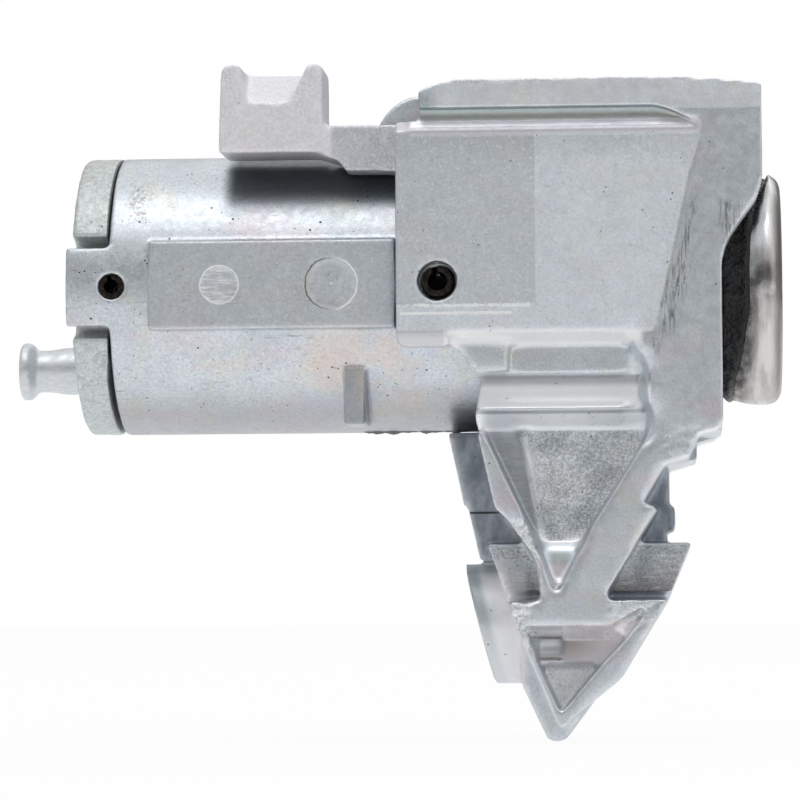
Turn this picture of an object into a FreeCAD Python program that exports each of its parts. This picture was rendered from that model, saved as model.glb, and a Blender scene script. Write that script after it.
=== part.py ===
import FreeCAD, Part
import math
import os
import re
import Sketcher

# Door lock cylinder of a car, with its cast carrier bracket.
# Millimetres. +X runs along the barrel to the key face, +Z is up and +Y points away from
# the pinned side. The origin lies on the barrel's axis, in the plane of the bracket's rear edge.
# Heights below the axis are written as positive drops.

sizes = {
    # barrel
    "barrelRadius": 13.87,
    "barrelRear": 28.2,
    "shoulderX": 28.3,
    "neckRadius": 9.7,
    "headFlangeLength": 2.65,
    "headFlangeRadius": 10.8,
    "headFrontX": 36.55,
    "sleeveBoreRadius": 8.6,
    "bulkheadFront": 6.0,
    "bulkheadThickness": 2.0,
    "rearBoreRadius": 9.6,
    "turnedPlay": 0.05,
    # lug and flat pad on the barrel's near side, rib on its lower flank
    "lugHalfWidth": 3.9,
    "lugLength": 4.2,
    "lugRoot": 1.0,
    "lugInnerRadius": 11.2,
    "padFace": 14.4,
    "padLength": 23.9,
    "padGap": 0.25,
    "padHalfWidth": 4.3,
    "padRootDepth": 3.2,
    "smallMarkX": 17.2,
    "smallMarkRadius": 1.85,
    "largeMarkX": 6.4,
    "largeMarkRadius": 2.45,
    "markDepth": 0.08,
    "ribCentreX": 4.4,
    "ribWidth": 2.15,
    "ribFace": 11.75,
    "ribTopDrop": 8.1,
    "ribHeight": 5.45,
    "ribDepth": 7.0,
    # rear cap ring and the spring pin that holds it
    "capRingLength": 3.7,
    "capSlotGap": 1.1,
    "capSpigotRadius": 9.5,
    "capSpigotLength": 3.7,
    "capEdge": 0.35,
    "capLandHalfHeight": 9.4,
    "capLandLength": 0.35,
    "capLandRoot": 0.2,
    "discRecessRadius": 10.3,
    "discRecessDepth": 2.4,
    "capPinSetback": 0.3,
    "capPinRadius": 1.25,
    "capPinBore": 0.69,
    "capPinLength": 6.2,
    "capPinInset": 0.25,
    # crank that works the latch rod
    "crankDiscPlay": 0.1,
    "shaftRadius": 5.0,
    "shaftFront": 5.6,
    "crankThrow": 7.4,
    "crankPinRadius": 2.35,
    "crankPinReach": 6.9,
    "crankPinRoot": 1.0,
    "crankHeadRadius": 2.86,
    "crankHeadLength": 0.9,
    "crankHeadChamfer": 0.25,
    "crankWaistRadius": 2.12,
    "crankWaistLength": 1.5,
    "slotWidth": 3.1,
    "slotDepth": 3.6,
    # return spring round the crank's shaft
    "springInnerRadius": 5.5,
    "springWireWidth": 1.0,
    "springWireHeight": 0.8,
    "springPitch": 1.9,
    "springTurns": 4,
    "springEndPlay": 0.2,
    # plug
    "plugRadius": 6.4,
    "plugRear": 5.0,
    "plugHeadRadius": 8.55,
    "plugHeadLength": 3.6,
    "tongueWidth": 3.0,
    "tongueHalfHeight": 3.9,
    "tongueLength": 3.8,
    "keywayWidth": 2.6,
    "keywayHeight": 9.0,
    "keywayRear": 1.5,
    "clipGrooveRadius": 5.3,
    "clipGrooveX": 4.3,
    "clipThickness": 0.8,
    "clipOuterRadius": 7.9,
    "clipGapAngle": 70,
    "sidePlay": 0.05,
    # freewheel sleeve
    "sleeveRear": 3.3,
    "sleeveGrooveWidth": 6.4,
    "sleeveGrooveDepth": 1.35,
    # wafers
    "waferStart": 3.0,
    "waferPitch": 3.2,
    "waferThickness": 1.0,
    "waferWidth": 6.0,
    "waferEndRadius": 6.35,
    "waferLift": 1.0,
    "waferWindowWidth": 3.0,
    "waferWindowHeight": 8.4,
    "earReach": 1.65,
    "earHeight": 1.0,
    "waferPlay": 0.05,
    "waferSpringRadius": 0.42,
    "waferWire": 0.18,
    "waferSpringFoot": 3.9,
    "waferSpringTurns": 2,
    # shutter behind the cap's opening
    "shutterPinInset": 1.35,
    "shutterPinY": 2.6,
    "shutterPinRadius": 0.4,
    "shutterPinHalfLength": 7.8,
    "shutterPinFit": 0.02,
    "knuckleRadius": 0.85,
    "shutterHalfHeight": 4.7,
    "shutterReach": 4.35,
    "shutterThickness": 0.6,
    "shutterPlay": 0.2,
    "shutterRecessDepth": 6.0,
    "shutterSpringHalfLength": 1.3,
    "shutterWire": 0.25,
    "shutterSpringTurns": 3,
    # stainless face cap and the rubber seal behind it
    "faceCapRadius": 11.45,
    "faceCapWall": 0.55,
    "faceCapPlay": 0.1,
    "faceCapEdge": 0.6,
    "faceCapLipRadius": 9.95,
    "faceOpeningRadius": 7.2,
    "sealOuterRadius": 11.3,
    # bracket casting, seen from the near side
    "bracketHalfDepth": 16.5,
    "wallInnerDepth": 7.0,
    "hoodLength": 35.25,
    "hoodEndTop": 18.65,
    "crownTop": 19.5,
    "crownStartX": 7.3,
    "crownEndX": 24.0,
    "crownRearTop": 18.3,
    "crownRearRadius": 10.0,
    "crownFrontRadius": 74.0,
    "flangeStart": 2.3,
    "flangeUnderside": 16.55,
    "plateTop": 15.55,
    "hoodCurveTop": 9.5,
    "hoodLipX": 34.7,
    "hoodLipZ": 7.9,
    "hoodSlantX": 32.4,
    "hoodSlantZ": 4.5,
    "hoodFoot": 0.8,
    "hoodCurveRadius": 7.0,
    "frontEdgeX": 31.3,
    "frontBottomDrop": 14.3,
    "frontChamfer": 0.6,
    "frontChamferDrop": 0.15,
    "plateBottomDrop": 6.3,
    "lipCorner": 0.9,
    "ribStartX": 5.7,
    "ribShoulderX": 7.9,
    "ribShoulderDrop": 9.4,
    "ribNeckX": 7.4,
    "ribNeckDrop": 13.1,
    "leftBarbX": 9.4,
    "leftBarbDrop": 21.9,
    "leftStepX": 10.5,
    "leftStepDrop": 22.9,
    "neckLeftX": 13.3,
    "neckLeftDrop": 27.0,
    "neckFootX": 13.7,
    "rightStepX": 28.9,
    "rightStepDrop": 14.9,
    "rightShelfX": 28.0,
    "rightShelfDrop": 17.0,
    "rightNeckX": 25.6,
    "rightNeckDrop": 17.75,
    "rightNotchX": 23.5,
    "rightNotchDrop": 21.5,
    "rightBarbX": 25.0,
    "rightBarbDrop": 21.9,
    "slotFootX": 20.0,
    "slotFootFlat": 0.3,
    "slotFootDrop": 30.2,
    "headDrop": 30.7,
    "headLeftX": 10.3,
    "headRightX": 25.9,
    "headHipX": 21.1,
    "headHipDrop": 38.5,
    "tipX": 15.7,
    "tipDrop": 42.7,
    "tipHalfWidth": 0.9,
    "tipFlat": 0.4,
    "tipRise": 0.6,
    "tipRadius": 1.2,
    # recesses of the near face
    "plateStep": 0.3,
    "plateRightLowX": 24.9,
    "plateRightMidX": 26.85,
    "plateRightMidZ": 3.6,
    "plateRightHighX": 28.35,
    "plateRightHighZ": 10.3,
    "plateCornerX": 29.6,
    "plateCornerZ": 14.3,
    "plateCornerRun": 0.5,
    "groovePocketDepth": 1.7,
    "grooveBevel": 1.35,
    "grooveDraft": 0.15,
    "grooveEndX": 29.4,
    "grooveEndZ": 14.5,
    "grooveBendX": 24.3,
    "grooveBendRadius": 10.0,
    "lipBevel": 1.1,
    "lipToe": 0.2,
    "lipEndX": 6.2,
    "ledgeDrop": 4.9,
    "ledgeBevel": 1.0,
    "ledgeDepth": 2.3,
    "ledgeStartX": 5.2,
    "shelfDepth": 1.2,
    "recessStartX": 11.0,
    "recessCornerX": 22.3,
    "recessEndX": 24.5,
    "recessNotchTop": 0.1,
    "recessNotchFoot": 0.2,
    "barTopDrop": 8.9,
    "barBottomDrop": 12.2,
    "barBulgeRadius": 1.75,
    "barEndX": 23.65,
    "barEdgeRise": 0.2,
    "barOverrun": 1.5,
    "panelTopDrop": 14.3,
    "panelDepth": 4.3,
    "panelEdgeDrop": 0.1,
    "panelBottomDrop": 24.8,
    "stepDepth": 3.0,
    "stepSlope": 1.0,
    "stepBottomDrop": 28.9,
    "panelLeftX": 8.3,
    "panelLowLeftX": 13.2,
    "panelRightX": 18.6,
    "panelRightDrop": 23.6,
    "ridgeTopX": 11.6,
    "ridgeFootX": 13.9,
    "ridgeFootDrop": 23.6,
    "ridgeWidth": 0.9,
    "ridgeHeight": 0.5,
    "ridgeRoot": 0.5,
    "panelFootX": 15.2,
    "panelFootDrop": 30.2,
    "panelFootSlope": 0.6,
    "headPanelTopDrop": 33.45,
    "headPanelRise": 1.2,
    "headPanelRun": 1.2,
    "headPanelLeftX": 12.1,
    "headPanelRightX": 21.6,
    "headPanelLeftTaper": 1.4,
    "headPanelRightTaper": 2.3,
    "headPanelDepth": 2.2,
    "headShoulderX": 20.6,
    "headShoulderRise": 0.35,
    "headShoulderPeakX": 24.2,
    "headShoulderPeakDrop": 31.2,
    "headShoulderDepth": 1.0,
    "headPanelStepDrop": 36.8,
    "headStepSlope": 0.4,
    "headPointDepth": 3.6,
    "headPointX": 15.6,
    "headPointDrop": 41.4,
    "headGrooveX": 15.7,
    "headGrooveRadius": 1.1,
    # arrowhead set back behind the near face
    "arrowHalfDepth": 11.0,
    "arrowTopDrop": 25.2,
    "arrowLeftX": 8.4,
    "arrowRightX": 28.2,
    "headHipInset": 0.5,
    "neckGapHeight": 0.7,
    "neckGapDepth": 2.0,
    # middle web
    "webRearX": 2.4,
    "webRearFoot": 8.0,
    "webCornerZ": 15.75,
    "webCornerTop": 19.0,
    "webCornerX": 1.0,
    "webCornerRadius": 5.5,
    "webFootX": 4.4,
    "webFootDrop": 14.2,
    "webMidX": 5.95,
    "webMidDrop": 21.4,
    "webStep": 0.35,
    "webStepDrop": 0.1,
    "webLowX": 7.5,
    "webLowDrop": 26.8,
    "webInnerX": 11.5,
    "webBendDrop": 39.0,
    "webTipX": 14.9,
    "webTipDrop": 44.2,
    "webTipHalfWidth": 0.95,
    "webTipRadius": 1.65,
    "webHipInset": 1.0,
    "webBarX": 26.6,
    "webBarTopDrop": 21.7,
    "webBarBottomDrop": 23.9,
    "webBarSlope": 0.3,
    "webBarFootSlope": 0.1,
    "webNeckX": 26.05,
    "webNeckStep": 0.25,
    "webShelfX": 28.8,
    "webShelfDrop": 17.1,
    "webShelfSlope": 0.5,
    # round boss behind the arrowhead
    "bossRadius": 5.95,
    "bossDrop": 33.0,
    "bossTopX": 5.7,
    "bossBottomX": 8.7,
    "bossEndX": 14.0,
    # bores of the bracket
    "barrelPlay": 0.05,
    "neckHoleRadius": 11.1,
    "capRecessRadius": 12.0,
    # screw lug with its notch, and the arm that carries it
    "lugBlockNear": 13.0,
    "lugBlockFar": 5.6,
    "blockLeftX": 17.5,
    "blockTaper": 0.25,
    "blockRightX": 7.15,
    "blockBottom": 12.9,
    "blockTop": 21.75,
    "hornChamfer": 0.55,
    "notchFloor": 17.9,
    "notchLeftX": 14.6,
    "notchRightX": 10.5,
    "notchLeftFlare": 0.75,
    "notchRightFlare": 2.0,
    "notchRise": 3.7,
    "notchOverrun": 0.4,
    "armTop": 15.6,
    "armBottom": 10.9,
    "armHeelX": 5.8,
    "armToeX": 5.0,
    "armNear": 12.6,
    "armFar": 6.4,
    "armRootX": 3.0,
    "armHeelDrop": 0.8,
    "armToeRise": 0.2,
    "armRoot": 1.0,
    # spring pin of the bracket
    "bracketPinX": 4.0,
    "bracketPinHole": 1.85,
    "bracketPinRadius": 1.5,
    "bracketPinBore": 0.92,
    "bracketPinInset": 0.9,
    "bracketPinEnd": 10.2,
    "pinSlitAngle": 26,
    # how far a cutting shape runs past the face that it cuts
    "overcut": 1.0,
}

doc = FreeCAD.newDocument("DoorLockCylinder")
sheet = doc.addObject("Spreadsheet::Sheet", "Sizes")
for row, (alias, value) in enumerate(sizes.items(), 1):
    sheet.set(f"A{row}", alias)
    sheet.set(f"B{row}", str(value))
    sheet.setAlias(f"B{row}", alias)
doc.recompute()


def bound(text):
    """An expression in which each size's name is read from the sheet."""
    return re.sub(
        r"[A-Za-z]\w*",
        lambda word: "Sizes." + word.group(0) if word.group(0) in sizes else word.group(0),
        text,
    )


def amount(text):
    return float(sheet.evalExpression(bound(text)))


def newBody(name, label=None):
    body = doc.addObject("PartDesign::Body", name)
    body.Label = label or name
    return body


def sketchOn(body, name, role, shift="0"):
    """A sketch on one of the body's own origin planes, moved along the plane's normal."""
    sketch = body.newObject("Sketcher::SketchObject", name)
    plane = next(f for f in body.Origin.OriginFeatures if f.Role == role)
    sketch.AttachmentSupport = [(plane, "")]
    sketch.MapMode = "FlatFace"
    sketch.setExpression("AttachmentOffset.Base.z", bound(shift))
    return sketch


def drive(sketch, constraint, text):
    index = sketch.addConstraint(constraint)
    sketch.setExpression(f"Constraints[{index}]", bound(text))


def arcBetween(start, end, radius, left):
    """Arc from start to end whose centre lies left or right of the way from one to the other."""
    chord = end - start
    side = FreeCAD.Vector(-chord.y, chord.x, 0).normalize() * (1 if left else -1)
    rise = math.sqrt(radius**2 - (chord.Length / 2) ** 2)
    centre = (start + end) * 0.5 + side * rise
    first, last = (start, end) if left else (end, start)
    fromAngle = math.atan2(first.y - centre.y, first.x - centre.x)
    toAngle = math.atan2(last.y - centre.y, last.x - centre.x)
    if toAngle < fromAngle:
        toAngle += 2 * math.pi
    circle = Part.Circle(centre, FreeCAD.Vector(0, 0, 1), radius)
    return Part.ArcOfCircle(circle, fromAngle, toAngle)


def outline(sketch, corners):
    """Closed outline. A corner is (x, y), or (x, y, radius, side) where an arc leads on from it."""
    spots = [FreeCAD.Vector(amount(c[0]), amount(c[1]), 0) for c in corners]
    count = len(corners)
    base = sketch.GeometryCount
    ends = []
    for i, corner in enumerate(corners):
        here, there = spots[i], spots[(i + 1) % count]
        if len(corner) == 4:
            left = corner[3] == "left"
            sketch.addGeometry(arcBetween(here, there, amount(corner[2]), left), False)
            drive(sketch, Sketcher.Constraint("Radius", base + i, amount(corner[2])), corner[2])
            ends.append((1, 2) if left else (2, 1))
        else:
            sketch.addGeometry(Part.LineSegment(here, there), False)
            ends.append((1, 2))
    for i in range(count):
        after = (i + 1) % count
        sketch.addConstraint(
            Sketcher.Constraint("Coincident", base + i, ends[i][1], base + after, ends[after][0])
        )
    for i, corner in enumerate(corners):
        across = Sketcher.Constraint("DistanceX", -1, 1, base + i, ends[i][0], spots[i].x)
        upward = Sketcher.Constraint("DistanceY", -1, 1, base + i, ends[i][0], spots[i].y)
        drive(sketch, across, corner[0])
        drive(sketch, upward, corner[1])


def box(sketch, left, right, low, high):
    outline(sketch, [(left, low), (right, low), (right, high), (left, high)])


def ring(sketch, x, y, radius):
    index = sketch.GeometryCount
    centre = FreeCAD.Vector(amount(x), amount(y), 0)
    sketch.addGeometry(Part.Circle(centre, FreeCAD.Vector(0, 0, 1), amount(radius)), False)
    drive(sketch, Sketcher.Constraint("DistanceX", -1, 1, index, 3, centre.x), x)
    drive(sketch, Sketcher.Constraint("DistanceY", -1, 1, index, 3, centre.y), y)
    drive(sketch, Sketcher.Constraint("Radius", index, amount(radius)), radius)


def extrude(kind, sketch, length, reverse=False, both=False):
    """Pad or Pocket of a sketch, along the plane's normal, against it or half each way."""
    body = sketch.getParentGeoFeatureGroup()
    feature = body.newObject("PartDesign::" + kind, sketch.Name + kind)
    feature.Profile = sketch
    feature.setExpression("Length", bound(length))
    feature.Reversed = reverse
    if both:
        feature.SideType = "Symmetric"
    sketch.Visibility = False
    return feature


def turn(kind, sketch, angle="360", middle=False, axis="H_Axis"):
    body = sketch.getParentGeoFeatureGroup()
    feature = body.newObject("PartDesign::" + kind, sketch.Name + kind)
    feature.Profile = sketch
    feature.ReferenceAxis = (sketch, [axis])
    feature.Midplane = middle
    feature.setExpression("Angle", bound(angle))
    return feature


def fused(name, pieces):
    joined = doc.addObject("Part::MultiFuse", name)
    joined.Shapes = pieces
    joined.Refine = True
    return joined


def cut(name, base, tool):
    left = doc.addObject("Part::Cut", name)
    left.Base = base
    left.Tool = tool
    left.Refine = True
    return left


def common(name, first, second):
    both = doc.addObject("Part::MultiCommon", name)
    both.Shapes = [first, second]
    return both


def sideSlab(name, corners, near, far):
    """Side-view outline made solid between two depths, counted towards the near side."""
    body = newBody(name)
    sketch = sketchOn(body, name + "Outline", "XZ_Plane", far)
    outline(sketch, corners)
    extrude("Pad", sketch, f"({near}) - ({far})")
    return body


def crossSlab(name, corners, rear, front):
    """Cross-section outline made solid between two places along the barrel's axis."""
    body = newBody(name)
    sketch = sketchOn(body, name + "Section", "YZ_Plane", rear)
    outline(sketch, corners)
    extrude("Pad", sketch, f"({front}) - ({rear})")
    return body


def rod(name, radius, x, z, near, far):
    """Cylinder across the barrel's axis, between two depths towards the near side."""
    body = newBody(name)
    sketch = sketchOn(body, name + "Circle", "XZ_Plane", far)
    ring(sketch, x, z, radius)
    extrude("Pad", sketch, f"({near}) - ({far})")
    return body


def turned(name, corners, label=None):
    """Solid of revolution about the barrel's axis, from its half section."""
    body = newBody(name, label)
    sketch = sketchOn(body, name + "Section", "XY_Plane")
    outline(sketch, corners)
    turn("Revolution", sketch)
    return body


# Each function makes one piece, or one kind of piece, and returns the object to export.


def makeBarrel():
    body = turned("barrel", [
        ("-barrelRear", "rearBoreRadius"),
        ("-barrelRear", "barrelRadius"),
        ("shoulderX", "barrelRadius"),
        ("shoulderX", "neckRadius"),
        ("headFrontX - headFlangeLength", "neckRadius"),
        ("headFrontX - headFlangeLength", "headFlangeRadius"),
        ("headFrontX", "headFlangeRadius"),
        ("headFrontX", "sleeveBoreRadius"),
        ("-bulkheadFront", "sleeveBoreRadius"),
        ("-bulkheadFront", "shaftRadius + turnedPlay"),
        ("-bulkheadFront - bulkheadThickness", "shaftRadius + turnedPlay"),
        ("-bulkheadFront - bulkheadThickness", "rearBoreRadius"),
    ])
    lug = sketchOn(body, "lug", "XY_Plane")
    box(lug, "-barrelRear - lugLength", "-barrelRear + lugRoot", "-barrelRadius", "-lugInnerRadius")
    turn("Revolution", lug, "2 * asin(lugHalfWidth / barrelRadius)", middle=True)
    pad = sketchOn(body, "flatPad", "XZ_Plane", "padFace - padRootDepth")
    box(pad, "-padLength - padGap", "-padGap", "-padHalfWidth", "padHalfWidth")
    extrude("Pad", pad, "padRootDepth")
    rib = sketchOn(body, "flankRib", "XZ_Plane", "ribFace - ribDepth")
    box(rib, "-ribCentreX - ribWidth / 2", "-ribCentreX + ribWidth / 2",
        "-ribTopDrop - ribHeight", "-ribTopDrop")
    extrude("Pad", rib, "ribDepth")
    marks = sketchOn(body, "ejectorMarks", "XZ_Plane", "padFace")
    ring(marks, "-smallMarkX", "0", "smallMarkRadius")
    ring(marks, "-largeMarkX", "0", "largeMarkRadius")
    extrude("Pocket", marks, "markDepth")
    capPin = sketchOn(body, "capPinHole", "XZ_Plane", "barrelRadius + overcut")
    ring(capPin, "-barrelRear + capPinSetback", "0", "capPinRadius")
    extrude("Pocket", capPin, "barrelRadius - rearBoreRadius + 2 * overcut")
    bracketPin = sketchOn(body, "bracketPinHole", "XZ_Plane", "padFace + overcut")
    ring(bracketPin, "bracketPinX", "0", "bracketPinRadius")
    extrude("Pocket", bracketPin, "padFace + overcut - bracketPinEnd + turnedPlay")
    return body


def makeRearCap():
    rear = "-barrelRear - capRingLength"
    body = turned("rearCap", [
        (rear, "discRecessRadius"),
        (rear, "barrelRadius - capEdge"),
        (rear + " + capEdge", "barrelRadius"),
        ("-barrelRear", "barrelRadius"),
        ("-barrelRear", "capSpigotRadius"),
        ("-barrelRear + capSpigotLength", "capSpigotRadius"),
        ("-barrelRear + capSpigotLength", "shaftRadius + turnedPlay"),
        (rear + " + discRecessDepth", "shaftRadius + turnedPlay"),
        (rear + " + discRecessDepth", "discRecessRadius"),
    ], "rear_cap")
    land = sketchOn(body, "rearLand", "YZ_Plane", rear + " - capLandLength")
    side = "sqrt((barrelRadius - capEdge)^2 - capLandHalfHeight^2)"
    outline(land, [
        ("-(" + side + ")", "capLandHalfHeight", "barrelRadius - capEdge", "left"),
        ("-(" + side + ")", "-capLandHalfHeight"),
        (side, "-capLandHalfHeight", "barrelRadius - capEdge", "left"),
        (side, "capLandHalfHeight"),
    ])
    ring(land, "0", "0", "discRecessRadius + turnedPlay")
    extrude("Pad", land, "capLandLength + capLandRoot")
    slot = sketchOn(body, "lugSlot", "XY_Plane")
    box(slot, rear + " - capLandLength - overcut", "-barrelRear", "-barrelRadius - overcut",
        "-lugInnerRadius + turnedPlay")
    turn("Groove", slot, "2 * asin((lugHalfWidth + capSlotGap) / barrelRadius)", middle=True)
    hole = sketchOn(body, "pinHole", "XZ_Plane", "barrelRadius + overcut")
    ring(hole, "-barrelRear + capPinSetback", "0", "capPinRadius")
    extrude("Pocket", hole, "capPinInset + overcut + capPinLength + turnedPlay")
    return body


def makeSpringPin(name, label, radius, bore, x, near, length):
    """Rolled spring pin with its slit, standing across the barrel's axis."""
    body = newBody(name, label)
    body.setExpression("Placement.Base.x", bound(x))
    section = sketchOn(body, name + "Wall", "YZ_Plane")
    box(section, "-(" + near + ")", "-(" + near + ") + " + length, bore, radius)
    turn("Revolution", section, "360 - pinSlitAngle")
    return body


def makeCrank():
    discRear = "-barrelRear - capRingLength"
    discFront = discRear + " + discRecessDepth - crankDiscPlay"
    body = turned("crankShaft", [
        (discRear, "0"),
        (discRear, "discRecessRadius - crankDiscPlay"),
        (discFront, "discRecessRadius - crankDiscPlay"),
        (discFront, "shaftRadius"),
        ("-shaftFront", "shaftRadius"),
        ("-shaftFront", "0"),
    ])
    pin = newBody("crankPin")
    pin.setExpression("Placement.Base.z", bound("-crankThrow"))
    end = discRear + " - crankPinReach"
    section = sketchOn(pin, "crankPinSection", "XY_Plane")
    outline(section, [
        (end, "0"),
        (end, "crankHeadRadius - crankHeadChamfer"),
        (end + " + crankHeadChamfer", "crankHeadRadius"),
        (end + " + crankHeadLength", "crankHeadRadius"),
        (end + " + crankHeadLength", "crankWaistRadius"),
        (end + " + crankHeadLength + crankWaistLength", "crankPinRadius"),
        (discRear + " + crankPinRoot", "crankPinRadius"),
        (discRear + " + crankPinRoot", "0"),
    ])
    turn("Revolution", section)
    slot = newBody("crankSlot")
    gap = sketchOn(slot, "crankSlotBox", "XZ_Plane")
    box(gap, "-shaftFront - slotDepth", "-shaftFront + overcut",
        "-shaftRadius - overcut", "shaftRadius + overcut")
    extrude("Pad", gap, "slotWidth", both=True)
    whole = cut("crankPiece", fused("crankBlank", [body, pin]), slot)
    whole.Label = "crank"
    return whole


# straight runs to one turn of a spring
springBends = 12
fineBends = 6


def makeCoil(name, label, radius, width, height, pitch, turns, sides):
    """Coil of square wire round its own Z axis, standing on Z = 0, bent in short straight runs."""
    middle, wide, high = amount(radius), amount(width), amount(height)
    runs = round(amount(turns) * sides)
    bends = []
    for i in range(runs + 1):
        angle = 2 * math.pi * i / sides
        rise = high / 2 + amount(pitch) * i / sides
        bends.append(FreeCAD.Vector(middle * math.cos(angle), middle * math.sin(angle), rise))
    path = doc.addObject("Part::Feature", name + "Path")
    path.Shape = Part.makePolygon(bends)
    inside, outside = middle - wide / 2, middle + wide / 2
    corners = [(inside, 0), (outside, 0), (outside, high), (inside, high), (inside, 0)]
    wire = doc.addObject("Part::Feature", name + "Wire")
    wire.Shape = Part.makePolygon([FreeCAD.Vector(x, 0, z) for x, z in corners])
    coil = doc.addObject("Part::Sweep", name)
    coil.Sections = [wire]
    coil.Spine = (path, [f"Edge{i + 1}" for i in range(runs)])
    coil.Solid = True
    coil.Transition = "Right corner"
    coil.Label = label
    return coil


def makeReturnSpring():
    coil = makeCoil("returnSpring", "return_spring", "springInnerRadius + springWireWidth / 2",
                    "springWireWidth", "springWireHeight", "springPitch", "springTurns",
                    springBends)
    coil.Placement.Rotation = FreeCAD.Rotation(FreeCAD.Vector(0, 1, 0), 90)
    coil.setExpression("Placement.Base.x", bound("-barrelRear + capSpigotLength + springEndPlay"))
    return coil


def makePlug():
    body = turned("plug", [
        ("-plugRear", "0"),
        ("-plugRear", "plugRadius"),
        ("-clipGrooveX", "plugRadius"),
        ("-clipGrooveX", "clipGrooveRadius"),
        ("-clipGrooveX + clipThickness + 2 * sidePlay", "clipGrooveRadius"),
        ("-clipGrooveX + clipThickness + 2 * sidePlay", "plugRadius"),
        ("headFrontX - plugHeadLength", "plugRadius"),
        ("headFrontX - plugHeadLength", "plugHeadRadius"),
        ("headFrontX", "plugHeadRadius"),
        ("headFrontX", "0"),
    ])
    tongue = sketchOn(body, "tongue", "YZ_Plane", "-plugRear")
    box(tongue, "-tongueWidth / 2", "tongueWidth / 2", "-tongueHalfHeight", "tongueHalfHeight")
    extrude("Pad", tongue, "tongueLength", reverse=True)
    keyway = sketchOn(body, "keyway", "YZ_Plane", "-keywayRear")
    box(keyway, "-keywayWidth / 2", "keywayWidth / 2", "-keywayHeight / 2", "keywayHeight / 2")
    extrude("Pocket", keyway, "headFrontX + keywayRear + overcut", reverse=True)
    recess = sketchOn(body, "shutterRecess", "YZ_Plane", "headFrontX")
    reach = "(shutterReach + shutterPlay)"
    box(recess, "shutterPinY - " + reach, "shutterPinY + knuckleRadius + shutterPlay",
        "-shutterHalfHeight - shutterPlay", "shutterHalfHeight + shutterPlay")
    extrude("Pocket", recess, "shutterRecessDepth")
    pinHole = sketchOn(body, "shutterPinHole", "XY_Plane")
    ring(pinHole, "headFrontX - shutterPinInset", "shutterPinY", "shutterPinRadius + shutterPinFit")
    extrude("Pocket", pinHole, "2 * plugHeadRadius", both=True)
    for number in range(waferCount):
        up = 1 if number % 2 == 0 else -1
        halfWidth = "(waferWidth / 2 + waferPlay)"
        earEnd = "(waferWidth / 2 + earReach + waferPlay)"
        foot = f"{-up} * waferSpringFoot"
        beyond = f"{up} * (plugRadius + overcut)"
        below = f"{-up} * (plugRadius + overcut)"
        gap = sketchOn(body, f"waferSlot{number + 1}", "YZ_Plane",
                       f"waferStart + {number} * waferPitch")
        outline(gap, [
            (f"{-up} * {halfWidth}", below),
            (f"{up} * {halfWidth}", below),
            (f"{up} * {halfWidth}", foot),
            (f"{up} * {earEnd}", foot),
            (f"{up} * {earEnd}", beyond),
            (f"{-up} * {halfWidth}", beyond),
        ])
        extrude("Pocket", gap, "waferThickness + 2 * waferPlay", both=True)
    return body


def makeSleeve():
    front = "headFrontX - plugHeadLength - sidePlay"
    body = turned("freewheelSleeve", [
        ("-sleeveRear", "plugRadius + turnedPlay"),
        ("-sleeveRear", "sleeveBoreRadius - turnedPlay"),
        (front, "sleeveBoreRadius - turnedPlay"),
        (front, "plugRadius + turnedPlay"),
    ], "freewheel_sleeve")
    groove = sketchOn(body, "waferGrooves", "YZ_Plane", "waferStart - waferPitch / 2")
    box(groove, "-sleeveGrooveWidth / 2", "sleeveGrooveWidth / 2",
        "-plugRadius - sleeveGrooveDepth", "plugRadius + sleeveGrooveDepth")
    extrude("Pocket", groove, f"{waferCount} * waferPitch", reverse=True)
    return body


def makeClip():
    body = newBody("plugClip", "plug_clip")
    section = sketchOn(body, "plugClipSection", "XY_Plane")
    rear = "-clipGrooveX + sidePlay"
    box(section, rear, rear + " + clipThickness", "clipGrooveRadius + turnedPlay", "clipOuterRadius")
    turn("Revolution", section, "360 - clipGapAngle")
    return body


def makeWafer(number):
    """Wafer with curved ends, a window for the key and an ear for its spring."""
    name = f"wafer{number + 1}"
    body = newBody(name, f"wafer_{number + 1}")
    sketch = sketchOn(body, name + "Face", "YZ_Plane", f"waferStart + {number} * waferPitch")
    half = "waferWidth / 2"
    rise = "sqrt(waferEndRadius^2 - (waferWidth / 2)^2)"
    outline(sketch, [
        ("-" + half, "waferLift - " + rise, "waferEndRadius", "left"),
        (half, "waferLift - " + rise),
        (half, "waferLift - earHeight / 2"),
        (half + " + earReach", "waferLift - earHeight / 2"),
        (half + " + earReach", "waferLift + earHeight / 2"),
        (half, "waferLift + earHeight / 2"),
        (half, "waferLift + " + rise, "waferEndRadius", "left"),
        ("-" + half, "waferLift + " + rise),
    ])
    box(sketch, "-waferWindowWidth / 2", "waferWindowWidth / 2",
        "waferLift / 2 - waferWindowHeight / 2", "waferLift / 2 + waferWindowHeight / 2")
    extrude("Pad", sketch, "waferThickness", both=True)
    if number % 2:
        body.Placement.Rotation = FreeCAD.Rotation(FreeCAD.Vector(1, 0, 0), 180)
    return body


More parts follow.
